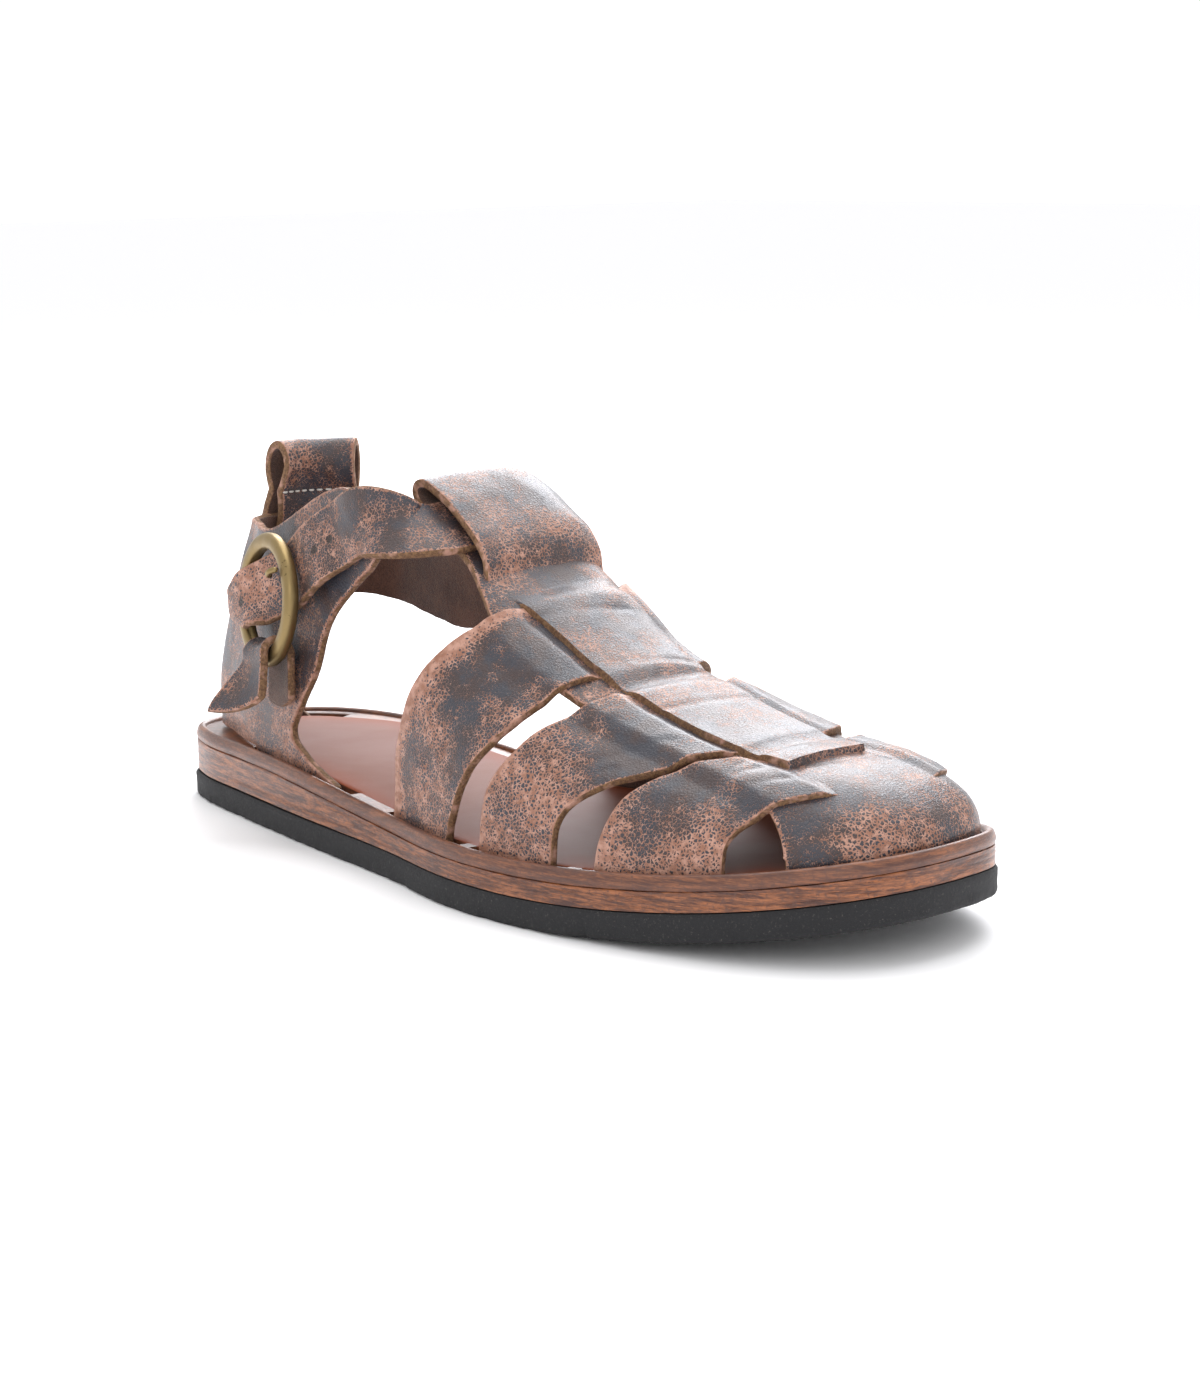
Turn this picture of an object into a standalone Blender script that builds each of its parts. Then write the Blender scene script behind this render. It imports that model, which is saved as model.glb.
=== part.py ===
"""Fisherman sandal for the right foot: rubber outsole, stacked leather midsole, slotted insole,
woven vamp, heel counter, ankle strap with its buckle ring and keeper, and a pull loop.

Metres. +X runs from heel to toe, +Y to the inner (big toe) side, +Z up. The origin is on the
floor under the middle of the sole. Tables hold shares of the named sizes: "along" is a share of
the shoe's length from the heel, "across" a share of the ball width from the middle, and "turn"
runs over the foot from its lateral slot at 0 to its medial slot at 1.
"""

import math
from collections import namedtuple

import bmesh
import bpy
import numpy as np
from mathutils import Vector

SHOE_LENGTH = 0.2895
BALL_WIDTH = 0.1057
INSTEP_HEIGHT = 0.095
COUNTER_HEIGHT = 0.088

OUTSOLE_THICKNESS = 0.0074
HEEL_STACK = 0.0095
FOREFOOT_STACK = 0.0050
INSOLE_THICKNESS = 0.0030
LIP_HEIGHT = 0.0011
TOE_SPRING = 0.0112
MIDSOLE_STEP = 0.0008
RIM_WIDTH = 0.0046

LEATHER = 0.0024
CLEARANCE = 0.0003
SLOT_PLAY = 0.0007
SLOT_END_TURN = 0.034
SLOT_STEP_TURN = 0.06
WEAVE_BITE = 0.0009
STRIP_SINK = 0.0003
STRAP_WIDTH = 0.0195
RING_DIAMETER = 0.0380
RING_WIRE = 0.0043
KEEPER_WIDTH = 0.0145
PULL_WIDTH = 0.0270

OUTLINE_POINTS = 72
SPRING_START = 0.64
EDGE_SOFTENING = 0.0006
NORMAL_STEP = 0.002
WALL_TURN_STEP = 0.02
PULL_TURN_STEP = 0.01
LEG_STEP_TURN = 0.006
SLOT_CUT_DEPTH = 0.00024

SoleSection = namedtuple("SoleSection", "along lateral medial")
SOLE_SECTIONS = (
    SoleSection(0.000, 0.005, 0.005),
    SoleSection(0.015, -0.160, 0.158),
    SoleSection(0.060, -0.233, 0.284),
    SoleSection(0.160, -0.292, 0.354),
    SoleSection(0.300, -0.361, 0.321),
    SoleSection(0.450, -0.422, 0.333),
    SoleSection(0.590, -0.497, 0.412),
    SoleSection(0.710, -0.485, 0.487),
    SoleSection(0.830, -0.414, 0.489),
    SoleSection(0.930, -0.291, 0.409),
    SoleSection(0.985, -0.131, 0.262),
    SoleSection(1.000, 0.045, 0.045),
)

LastSection = namedtuple("LastSection", "along height lateral_full medial_full lean")
LAST_SECTIONS = (
    LastSection(0.380, 1.060, 4.6, 5.4, 0.04),
    LastSection(0.430, 0.980, 4.6, 5.4, 0.04),
    LastSection(0.480, 0.890, 3.6, 5.2, 0.06),
    LastSection(0.540, 0.780, 2.4, 3.9, 0.05),
    LastSection(0.590, 0.690, 2.3, 2.9, 0.02),
    LastSection(0.645, 0.603, 2.4, 2.7, 0.0),
    LastSection(0.700, 0.540, 2.4, 2.8, 0.0),
    LastSection(0.760, 0.485, 2.5, 2.9, 0.0),
    LastSection(0.830, 0.440, 2.5, 2.8, 0.0),
)
TOE_CENTRE = 0.830
TOE_FULLNESS = 2.3
TOE_PIECE_START = 0.915
TOE_PIECE_ANGLE = 50.0
TOE_PIECE_INNER = 0.42

StrapRow = namedtuple("StrapRow", "turn rear front")
CROSS_STRAPS = (
    (
        StrapRow(0.00, 0.455, 0.560),
        StrapRow(0.10, 0.483, 0.583),
        StrapRow(0.20, 0.505, 0.613),
        StrapRow(0.30, 0.523, 0.631),
        StrapRow(0.40, 0.540, 0.643),
        StrapRow(0.50, 0.550, 0.655),
        StrapRow(0.60, 0.543, 0.648),
        StrapRow(0.70, 0.520, 0.632),
        StrapRow(0.85, 0.493, 0.602),
        StrapRow(1.00, 0.480, 0.588),
    ),
    (
        StrapRow(0.00, 0.610, 0.702),
        StrapRow(0.10, 0.616, 0.707),
        StrapRow(0.20, 0.638, 0.742),
        StrapRow(0.30, 0.660, 0.780),
        StrapRow(0.40, 0.676, 0.805),
        StrapRow(0.50, 0.685, 0.812),
        StrapRow(0.60, 0.683, 0.808),
        StrapRow(0.70, 0.664, 0.787),
        StrapRow(0.85, 0.640, 0.747),
        StrapRow(1.00, 0.630, 0.728),
    ),
    (
        StrapRow(0.00, 0.748, 0.868),
        StrapRow(0.10, 0.755, 0.870),
        StrapRow(0.20, 0.766, 0.886),
        StrapRow(0.30, 0.790, 0.912),
        StrapRow(0.40, 0.824, 0.934),
        StrapRow(0.50, 0.833, 0.936),
        StrapRow(0.60, 0.830, 0.934),
        StrapRow(0.70, 0.812, 0.922),
        StrapRow(0.85, 0.785, 0.890),
        StrapRow(1.00, 0.770, 0.872),
    ),
)

StripRow = namedtuple("StripRow", "along lateral lateral_slit medial_slit medial")
STRIP_ROWS = (
    StripRow(0.415, -0.172, -0.150, 0.150, 0.208),
    StripRow(0.480, -0.180, -0.150, 0.165, 0.235),
    StripRow(0.540, -0.225, -0.147, 0.178, 0.272),
    StripRow(0.600, -0.240, -0.142, 0.175, 0.280),
    StripRow(0.680, -0.225, -0.128, 0.168, 0.262),
    StripRow(0.760, -0.205, -0.112, 0.165, 0.258),
    StripRow(0.830, -0.195, -0.092, 0.165, 0.262),
    StripRow(0.900, -0.200, -0.085, 0.180, 0.275),
    StripRow(0.930, -0.200, -0.085, 0.190, 0.275),
)

LoopRow = namedtuple("LoopRow", "along lift")
LOOP_ROWS = (
    LoopRow(0.452, -0.15),
    LoopRow(0.430, -0.12),
    LoopRow(0.411, 0.00),
    LoopRow(0.396, 0.60),
    LoopRow(0.389, 1.60),
    LoopRow(0.390, 2.95),
    LoopRow(0.401, 3.95),
    LoopRow(0.425, 4.15),
    LoopRow(0.450, 3.95),
    LoopRow(0.474, 3.60),
    LoopRow(0.494, 2.60),
    LoopRow(0.506, 1.00),
    LoopRow(0.514, 0.75),
)
LOOP_LEVELLING = 0.4

OpeningCorner = namedtuple("OpeningCorner", "along up")
LATERAL_OPENING = (
    OpeningCorner(0.365, 0.16),
    OpeningCorner(0.335, 0.215),
    OpeningCorner(0.292, 0.255),
    OpeningCorner(0.255, 0.335),
    OpeningCorner(0.277, 0.455),
    OpeningCorner(0.303, 0.570),
    OpeningCorner(0.325, 0.740),
    OpeningCorner(0.362, 0.850),
    OpeningCorner(0.402, 0.960),
    OpeningCorner(0.395, 1.080),
    OpeningCorner(0.350, 1.165),
    OpeningCorner(0.350, 1.400),
    OpeningCorner(0.520, 1.400),
    OpeningCorner(0.520, 0.160),
)
MEDIAL_OPENING = (
    OpeningCorner(0.080, 0.10),
    OpeningCorner(0.060, 0.230),
    OpeningCorner(0.036, 0.330),
    OpeningCorner(0.040, 0.460),
    OpeningCorner(0.062, 0.590),
    OpeningCorner(0.110, 0.680),
    OpeningCorner(0.170, 0.665),
    OpeningCorner(0.230, 0.635),
    OpeningCorner(0.290, 0.620),
    OpeningCorner(0.340, 0.680),
    OpeningCorner(0.385, 0.800),
    OpeningCorner(0.392, 0.900),
    OpeningCorner(0.380, 1.150),
    OpeningCorner(0.560, 1.150),
    OpeningCorner(0.560, 0.100),
)

Leg = namedtuple("Leg", "side rear front")
COUNTER_LEGS = (
    Leg(-1, 0.165, 0.352),
    Leg(1, 0.014, 0.070),
)
COUNTER_REACH = 0.450

WallStation = namedtuple("WallStation", "up inward forward")
HEEL_LEAN = (
    WallStation(0.00, 0.000, 0.00),
    WallStation(0.24, 0.000, 0.00),
    WallStation(0.42, -0.008, 0.02),
    WallStation(0.60, 0.030, 0.25),
    WallStation(0.80, 0.090, 0.62),
    WallStation(1.00, 0.160, 1.00),
    WallStation(1.25, 0.220, 1.20),
)
HEEL_FORWARD = 0.0200
BACK_HEIGHT = 0.975
LOBE_RISE = 0.185
HEEL_SET_IN = 0.0038

WallRow = namedtuple("WallRow", "along up lift")
STRAP_MEDIAL = (
    WallRow(0.230, 0.800, 1.2),
    WallRow(0.290, 0.830, 1.2),
    WallRow(0.345, 0.895, 1.2),
    WallRow(0.404, 0.960, 1.5),
)
InstepRow = namedtuple("InstepRow", "turn along lift")
STRAP_INSTEP = (
    InstepRow(0.650, 0.450, 1.10),
    InstepRow(0.580, 0.447, 1.05),
    InstepRow(0.500, 0.442, 1.00),
    InstepRow(0.420, 0.441, 1.00),
    InstepRow(0.365, 0.430, 1.40),
)
STRAP_LATERAL = (
    WallRow(0.380, 1.065, 1.4),
    WallRow(0.340, 1.010, 1.2),
)
RingRow = namedtuple("RingRow", "reach height")
STRAP_BUCKLE = (
    RingRow(-1.35, -2.15),
    RingRow(-1.00, -2.15),
    RingRow(-0.55, -2.10),
    RingRow(0.00, -0.40),
    RingRow(0.55, 1.15),
    RingRow(0.90, 1.20),
    RingRow(1.15, 1.05),
)
STRAP_SLOPE = 31.0
STRAP_RAISE = 0.0028
RING_ALONG = 0.234
RING_UP = 0.765
RING_LIFT = 3.55
RING_TIP = 0.08
KEEPER_LENGTH = 0.0150
KEEPER_SLANT = -0.18

FoldRow = namedtuple("FoldRow", "up lift")
PULL_FOLD = (
    FoldRow(0.860, -0.50),
    FoldRow(0.960, -0.48),
    FoldRow(1.030, -0.10),
    FoldRow(1.065, 0.15),
    FoldRow(1.100, -0.30),
    FoldRow(1.150, -0.70),
    FoldRow(1.190, -0.35),
    FoldRow(1.207, 0.50),
    FoldRow(1.190, 1.35),
    FoldRow(1.150, 1.70),
    FoldRow(1.100, 1.30),
    FoldRow(1.065, 0.80),
    FoldRow(1.030, 1.00),
    FoldRow(0.960, 1.30),
    FoldRow(0.840, 1.40),
)
PULL_SHIFT = 0.095

STRAP_COLOUR = (0.20, 0.17, 0.18, 1.0)
INSOLE_COLOUR = (0.55, 0.24, 0.13, 1.0)
STACK_COLOUR = (0.22, 0.09, 0.05, 1.0)
RUBBER_COLOUR = (0.012, 0.012, 0.013, 1.0)
BRASS_COLOUR = (0.36, 0.27, 0.10, 1.0)


def clear_scene():
    for old in list(bpy.data.objects):
        bpy.data.objects.remove(old)


def material(name, colour, roughness, metallic=0.0):
    made = bpy.data.materials.new(name)
    made.use_nodes = True
    shader = made.node_tree.nodes["Principled BSDF"]
    shader.inputs["Base Color"].default_value = colour
    shader.inputs["Roughness"].default_value = roughness
    shader.inputs["Metallic"].default_value = metallic
    return made


def column(rows, name):
    return np.array([getattr(row, name) for row in rows], float)


def smooth(knots, values, at):
    """A smooth curve through a table's column, with slopes taken from the neighbouring rows."""
    slopes = np.gradient(values, knots)
    at = np.clip(at, knots[0], knots[-1])
    low = np.clip(np.searchsorted(knots, at, side="right") - 1, 0, len(knots) - 2)
    span = knots[low + 1] - knots[low]
    part = (at - knots[low]) / span
    rise = part * part * (3 - 2 * part)
    start = part * (1 - part) ** 2 * span
    end = part * part * (part - 1) * span
    blend = values[low] * (1 - rise) + values[low + 1] * rise
    return blend + start * slopes[low] + end * slopes[low + 1]


def table_value(rows, key, name, at):
    return smooth(column(rows, key), column(rows, name), at)


def ramp(low, high, at):
    part = np.clip((np.asarray(at, float) - low) / (high - low), 0.0, 1.0)
    return part * part * (3 - 2 * part)


def x_of(along):
    return (along - 0.5) * SHOE_LENGTH


def along_of(x):
    return x / SHOE_LENGTH + 0.5


def sole_ring(inset=0.0):
    """The sole's outline, lateral side from heel to toe and back along the medial side."""
    sections = SOLE_SECTIONS
    turns = np.arccos(1 - 2 * column(sections, "along"))
    lateral = column(sections, "lateral")
    medial = column(sections, "medial")
    around = np.concatenate([turns, 2 * math.pi - turns[-2::-1]])
    across = np.concatenate([lateral, medial[-2::-1]])
    before = around[-4:-1] - 2 * math.pi
    after = around[1:4] + 2 * math.pi
    knots = np.concatenate([before, around, after])
    wrapped = np.concatenate([across[-4:-1], across, across[1:4]])
    at = np.arange(OUTLINE_POINTS) * 2 * math.pi / OUTLINE_POINTS
    x = -0.5 * SHOE_LENGTH * np.cos(at)
    ring = np.stack([x, BALL_WIDTH * smooth(knots, wrapped, at)], 1)
    tangent = np.roll(ring, -1, 0) - np.roll(ring, 1, 0)
    tangent /= np.linalg.norm(tangent, axis=1)[:, None]
    inward = np.stack([-tangent[:, 1], tangent[:, 0]], 1)
    return ring + inset * inward


def floor_rise(x):
    """How far the toe spring lifts the sole's underside."""
    reach = np.clip((along_of(np.asarray(x, float)) - SPRING_START) / (1 - SPRING_START), 0.0, None)
    return TOE_SPRING * reach**2


def stack_height(x):
    change = ramp(0.2, 0.52, along_of(x))
    return HEEL_STACK + (FOREFOOT_STACK - HEEL_STACK) * change


def outsole_top(x):
    return floor_rise(x) + OUTSOLE_THICKNESS


def midsole_top(x):
    return outsole_top(x) + CLEARANCE + stack_height(x)


def insole_base(x):
    return midsole_top(x) + CLEARANCE


def bed_height(x):
    return insole_base(x) + INSOLE_THICKNESS


def mesh_object(name, points, faces, group):
    mesh = bpy.data.meshes.new(name)
    mesh.from_pydata([tuple(map(float, point)) for point in points], [], faces)
    mesh.update()
    made = bpy.data.objects.new(name, mesh)
    group.objects.link(made)
    return made


def finish(made, look, sharp_degrees=40):
    made.data.materials.append(look)
    made.data.shade_smooth()
    made.data.set_sharp_from_angle(angle=math.radians(sharp_degrees))
    return made


def stacked_rings(name, rings, group):
    """A closed solid from rings of the sole's outline, with its two faces spanned from side to side."""
    count = OUTLINE_POINTS
    points = [point for ring in rings for point in ring]
    faces = []
    for level in range(len(rings) - 1):
        for i in range(count):
            j = (i + 1) % count
            low = level * count
            high = low + count
            faces.append((low + i, low + j, high + j, high + i))
    top = (len(rings) - 1) * count
    for i in range(count // 2):
        j = (count - i) % count
        far = count - i - 1
        corners = [i, i + 1, far, j]
        corners = [corner for k, corner in enumerate(corners) if corner not in corners[:k]]
        faces.append(tuple(top + corner for corner in corners))
        faces.append(tuple(corners[::-1]))
    return mesh_object(name, points, faces, group)


def ring_at(inset, height_of, raised=0.0):
    ring = sole_ring(inset)
    heights = height_of(ring[:, 0]) + raised
    return np.column_stack([ring, heights])


def make_outsole(group, look):
    rings = [
        ring_at(EDGE_SOFTENING, floor_rise),
        ring_at(0.0, floor_rise, EDGE_SOFTENING),
        ring_at(0.0, outsole_top),
    ]
    return finish(stacked_rings("outsole", rings, group), look)


def make_midsole(group, look):
    rings = [
        ring_at(MIDSOLE_STEP, outsole_top, CLEARANCE),
        ring_at(MIDSOLE_STEP, midsole_top),
    ]
    return finish(stacked_rings("midsole", rings, group), look)


def make_insole(group, helpers, look):
    """The footbed sheet: a rounded lip round a pressed bed, with a slot for each strap end."""
    rings = [
        ring_at(MIDSOLE_STEP, insole_base),
        ring_at(MIDSOLE_STEP, bed_height, -0.3 * INSOLE_THICKNESS),
        ring_at(MIDSOLE_STEP + 0.12 * RIM_WIDTH, bed_height, 0.6 * LIP_HEIGHT),
        ring_at(MIDSOLE_STEP + 0.32 * RIM_WIDTH, bed_height, LIP_HEIGHT),
        ring_at(MIDSOLE_STEP + 0.60 * RIM_WIDTH, bed_height, 0.6 * LIP_HEIGHT),
        ring_at(RIM_WIDTH, bed_height),
    ]
    insole = stacked_rings("insole", rings, group)
    for number, (start_turn, end_turn) in enumerate(slot_spans()):
        on_wall = number < len(COUNTER_LEGS)
        cut(insole, slot_cutter(f"slot_{number}", start_turn, end_turn, on_wall, helpers))
    return finish(insole, look)


def side_curve(side, inset):
    """One side of an inset outline, as along-sorted x and y."""
    ring = sole_ring(inset)
    half = OUTLINE_POINTS // 2
    part = ring[: half + 1] if side < 0 else np.vstack([ring[half:], ring[:1]])[::-1]
    order = np.argsort(part[:, 0])
    return part[order, 0], part[order, 1]


def side_y(side, x, inset):
    xs, ys = side_curve(side, inset)
    return np.interp(x, xs, ys)


def cut(made, cutter):
    cutter.hide_render = True
    cutter.display_type = "WIRE"
    modifier = made.modifiers.new(cutter.name, "BOOLEAN")
    modifier.operation = "DIFFERENCE"
    modifier.solver = "EXACT"
    modifier.object = cutter


def slot_spans():
    """Where each slot of the insole starts and ends on the sole's ring."""
    spans = [(leg.side, leg.rear, leg.front) for leg in COUNTER_LEGS]
    for rows in CROSS_STRAPS:
        spans.append((-1, rows[0].rear, rows[0].front))
        spans.append((1, rows[-1].rear, rows[-1].front))
    turns = []
    for side, rear, front in spans:
        start = turn_on_ring(side, rear) + side * SLOT_END_TURN
        end = turn_on_ring(side, front) - side * SLOT_END_TURN
        turns.append((start, end))
    toe_start = turn_on_ring(-1, TOE_PIECE_START) - SLOT_END_TURN
    toe_end = turn_on_ring(1, TOE_PIECE_START) + SLOT_END_TURN
    turns.append((toe_start, toe_end))
    return turns


def turn_on_ring(side, along):
    turn = np.arccos(1 - 2 * np.clip(along, 0.0, 1.0))
    return turn if side < 0 else 2 * math.pi - turn


def ring_point(turn, inset):
    ring = sole_ring(inset)
    at = np.arange(OUTLINE_POINTS) * 2 * math.pi / OUTLINE_POINTS
    turn = np.mod(turn, 2 * math.pi)
    wrapped = np.append(at, 2 * math.pi)
    closed = np.vstack([ring, ring[:1]])
    return np.stack([np.interp(turn, wrapped, closed[:, k]) for k in (0, 1)], -1)


def slot_cutter(name, start_turn, end_turn, on_wall, helpers):
    steps = max(6, round(abs(end_turn - start_turn) / SLOT_STEP_TURN))
    outer = RIM_WIDTH - SLOT_PLAY
    inner = RIM_WIDTH + LEATHER + SLOT_PLAY
    points = []
    for step in range(steps + 1):
        turn = start_turn + (end_turn - start_turn) * step / steps
        set_in = float(heel_inset(turn)) if on_wall else 0.0
        near = ring_point(turn, outer + set_in)
        far = ring_point(turn, inner + set_in)
        low = float(insole_base(near[0])) - SLOT_CUT_DEPTH
        high = float(bed_height(near[0])) + 2 * LIP_HEIGHT + CLEARANCE
        for place, height in ((near, low), (far, low), (far, high), (near, high)):
            points.append((place[0], place[1], height))
    faces = [(0, 1, 2, 3)]
    for step in range(steps):
        base = 4 * step
        for k in range(4):
            m = (k + 1) % 4
            faces.append((base + k, base + 4 + k, base + 4 + m, base + m))
    last = 4 * steps
    faces.append((last + 3, last + 2, last + 1, last))
    cutter = mesh_object(name, points, faces, helpers)
    return outward(cutter)


def outward(made):
    """Turns a closed mesh's faces outwards."""
    work = bmesh.new()
    work.from_mesh(made.data)
    bmesh.ops.recalc_face_normals(work, faces=work.faces)
    work.to_mesh(made.data)
    work.free()
    return made


def last_sides(x):
    """The middle and half-breadth of the foot between its two slots."""
    inset = RIM_WIDTH + LEATHER
    lateral = side_y(-1, x, inset)
    medial = side_y(1, x, inset)
    return (lateral + medial) / 2, (medial - lateral) / 2


def toe_reach(angle):
    """How far the last reaches from the toe's centre along an angle from straight ahead."""
    ring = sole_ring(RIM_WIDTH + LEATHER)
    x_centre = x_of(TOE_CENTRE)
    middle, _ = last_sides(x_centre)
    angles = np.arctan2(ring[:, 1] - middle, ring[:, 0] - x_centre)
    radii = np.hypot(ring[:, 1] - middle, ring[:, 0] - x_centre)
    order = np.argsort(angles)
    return np.interp(angle, angles[order], radii[order], period=2 * math.pi)


def last_value(x, name):
    return table_value(LAST_SECTIONS, "along", name, along_of(np.asarray(x, float)))


def last_height(x, y):
    """The top of the foot at a place in plan: arched sections, closed by a dome over the toes."""
    x = np.asarray(x, float)
    y = np.asarray(y, float)
    x_centre = x_of(TOE_CENTRE)
    middle, half = last_sides(x)
    full = np.where(y < middle, last_value(x, "lateral_full"), last_value(x, "medial_full"))
    share = np.abs(y - middle) / half
    centre_middle, _ = last_sides(x_centre)
    angle = np.arctan2(y - centre_middle, x - x_centre)
    toe_share = np.hypot(y - centre_middle, x - x_centre) / toe_reach(angle)
    toe_full = TOE_FULLNESS + (full - TOE_FULLNESS) * np.sin(angle) ** 2
    over_toe = x > x_centre
    share = np.clip(np.where(over_toe, toe_share, share), 0.0, 1.0)
    full = np.where(over_toe, toe_full, full)
    crest = INSTEP_HEIGHT * last_value(np.minimum(x, x_centre), "height")
    bed = bed_height(x)
    lean = last_value(x, "lean") * (y - middle) * (1 - share**2)
    return bed + (crest - bed) * (1 - share**full) ** (1 / full) + lean


def last_point(x, turn):
    """A point on the foot, by its place along it and its turn over it."""
    x = np.asarray(x, float)
    turn = np.asarray(turn, float)
    middle, half = last_sides(x)
    side = np.cos(math.pi * turn)
    full = np.where(side > 0, last_value(x, "lateral_full"), last_value(x, "medial_full"))
    y = middle - half * np.sign(side) * np.abs(side) ** (2 / full)
    return np.stack([x, y, last_height(x, y)], -1)


def grid_normals(grid):
    along = np.gradient(grid, axis=0)
    across = np.gradient(grid, axis=1)
    normals = np.cross(along, across)
    normals /= np.maximum(np.linalg.norm(normals, axis=2, keepdims=True), 1e-9)
    return normals


def lifted(grid, lift, outside):
    """The grid moved outwards by a lift at each point; outside is 1 or -1 with the grid's turning."""
    return grid + outside * grid_normals(grid) * lift[..., None]


def leather_sheet(name, grid, outside, group, thickness=LEATHER):
    """A grid of points on the foot side, thickened outwards."""
    rows, columns = grid.shape[:2]
    points = grid.reshape(-1, 3)
    faces = []
    for i in range(rows - 1):
        for j in range(columns - 1):
            near = i * columns + j
            far = near + columns
            corners = (near, far, far + 1, near + 1)
            faces.append(corners if outside > 0 else corners[::-1])
    made = mesh_object(name, points, faces, group)
    thicken = made.modifiers.new("thickness", "SOLIDIFY")
    thicken.thickness = thickness
    thicken.offset = 1.0
    thicken.use_even_offset = True
    return made


def join(made, other):
    other.hide_render = True
    other.display_type = "WIRE"
    modifier = made.modifiers.new(other.name, "BOOLEAN")
    modifier.operation = "UNION"
    modifier.solver = "EXACT"
    modifier.use_self = True
    modifier.object = other


def raised_share(along, across):
    """How far the centre strip is raised, from 0 to 1, where it bridges a cross strap."""
    lateral = table_value(STRIP_ROWS, "along", "lateral_slit", along)
    medial = table_value(STRIP_ROWS, "along", "medial_slit", along)
    inside = ramp(lateral - 0.010, lateral + 0.025, across)
    inside = inside * (1 - ramp(medial - 0.025, medial + 0.010, across))
    over = 0.0
    for rows in CROSS_STRAPS:
        middle = rows[len(rows) // 2]
        rise = ramp(middle.rear - 0.022, middle.rear + 0.006, along)
        over = over + rise * (1 - ramp(middle.front - 0.006, middle.front + 0.022, along))
    return inside * over


def make_strip(group):
    """The centre strip from the instep to the toe piece, raised where it bridges the straps."""
    alongs = np.linspace(STRIP_ROWS[0].along, STRIP_ROWS[-1].along, 36)
    shares = np.linspace(0.0, 1.0, 11)
    lateral = table_value(STRIP_ROWS, "along", "lateral", alongs)
    medial = table_value(STRIP_ROWS, "along", "medial", alongs)
    across = lateral[:, None] + (medial - lateral)[:, None] * shares[None, :]
    x = np.repeat(x_of(alongs)[:, None], len(shares), 1)
    y = across * BALL_WIDTH
    grid = np.stack([x, y, last_height(x, y)], -1)
    lift = (LEATHER - WEAVE_BITE + STRIP_SINK) * raised_share(alongs[:, None], across) - STRIP_SINK
    return leather_sheet("vamp", lifted(grid, lift, 1), 1, group)


def make_loop(helpers):
    """The top of the strip, folded over the ankle strap and sewn down in front of it."""
    knots = np.arange(len(LOOP_ROWS), dtype=float)
    at = np.linspace(0, len(LOOP_ROWS) - 1, 2 * len(LOOP_ROWS) - 1)
    alongs = smooth(knots, column(LOOP_ROWS, "along"), at)
    lifts = smooth(knots, column(LOOP_ROWS, "lift"), at) * LEATHER
    first = STRIP_ROWS[0]
    across = np.linspace(first.lateral + 0.004, first.medial - 0.004, 9)
    x, y = np.meshgrid(x_of(alongs), across * BALL_WIDTH, indexing="ij")
    base = np.stack([x, y, last_height(x, y)], -1)
    ahead = np.stack([x + NORMAL_STEP, y, last_height(x + NORMAL_STEP, y)], -1)
    aside = np.stack([x, y + NORMAL_STEP, last_height(x, y + NORMAL_STEP)], -1)
    normals = np.cross(ahead - base, aside - base)
    normals[..., 1] *= LOOP_LEVELLING
    normals /= np.linalg.norm(normals, axis=2, keepdims=True)
    grid = base + normals * lifts[:, None, None]
    return leather_sheet("loop", grid, -1, helpers)


def make_cross_strap(name, rows, helpers):
    """One strap from slot to slot, over the strip's margins and under its bridge."""
    turns = np.linspace(0.0, 1.0, 27)
    rear = smooth(column(rows, "turn"), column(rows, "rear"), turns)
    front = smooth(column(rows, "turn"), column(rows, "front"), turns)
    shares = np.linspace(0.0, 1.0, 5)
    alongs = rear[:, None] + (front - rear)[:, None] * shares[None, :]
    x = x_of(alongs)
    grid = last_point(x, np.repeat(turns[:, None], len(shares), 1))
    across = grid[..., 1] / BALL_WIDTH
    strip = {key: table_value(STRIP_ROWS, "along", key, alongs) for key in StripRow._fields[1:]}
    lateral = ramp(strip["lateral"] - 0.050, strip["lateral"] - 0.008, across)
    lateral = lateral * (1 - ramp(strip["lateral_slit"] - 0.012, strip["lateral_slit"] + 0.022, across))
    medial = 1 - ramp(strip["medial"] + 0.008, strip["medial"] + 0.050, across)
    medial = medial * ramp(strip["medial_slit"] - 0.022, strip["medial_slit"] + 0.012, across)
    lift = (LEATHER - WEAVE_BITE) * np.maximum(lateral, medial)
    grid = lifted(grid, lift, -1)
    foot = insole_base(grid[..., 0]) + CLEARANCE
    start = np.concatenate([grid[:1, :, :2], foot[:1, :, None]], 2)
    end = np.concatenate([grid[-1:, :, :2], foot[-1:, :, None]], 2)
    return leather_sheet(name, np.concatenate([start, grid, end]), -1, helpers)


def make_toe_piece(helpers):
    """The strip's end, spread over the toes and let into the slot round them."""
    angles = np.radians(np.linspace(-TOE_PIECE_ANGLE, TOE_PIECE_ANGLE, 15))
    shares = np.linspace(TOE_PIECE_INNER, 1.0, 8)
    arch = np.sin(shares * math.pi / 2) ** (2 / TOE_FULLNESS)
    reach = toe_reach(angles)
    middle, _ = last_sides(x_of(TOE_CENTRE))
    x = x_of(TOE_CENTRE) + arch[:, None] * (reach * np.cos(angles))[None, :]
    y = middle + arch[:, None] * (reach * np.sin(angles))[None, :]
    grid = np.stack([x, y, last_height(x, y)], -1)
    grid = lifted(grid, np.full(x.shape, 0.25 * LEATHER) * (1 - shares[:, None] ** 4), 1)
    foot = insole_base(grid[-1, :, 0] + LEATHER) + CLEARANCE
    end = np.column_stack([grid[-1, :, :2], foot])[None]
    return leather_sheet("toe_piece", np.concatenate([grid, end]), 1, helpers)


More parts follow.
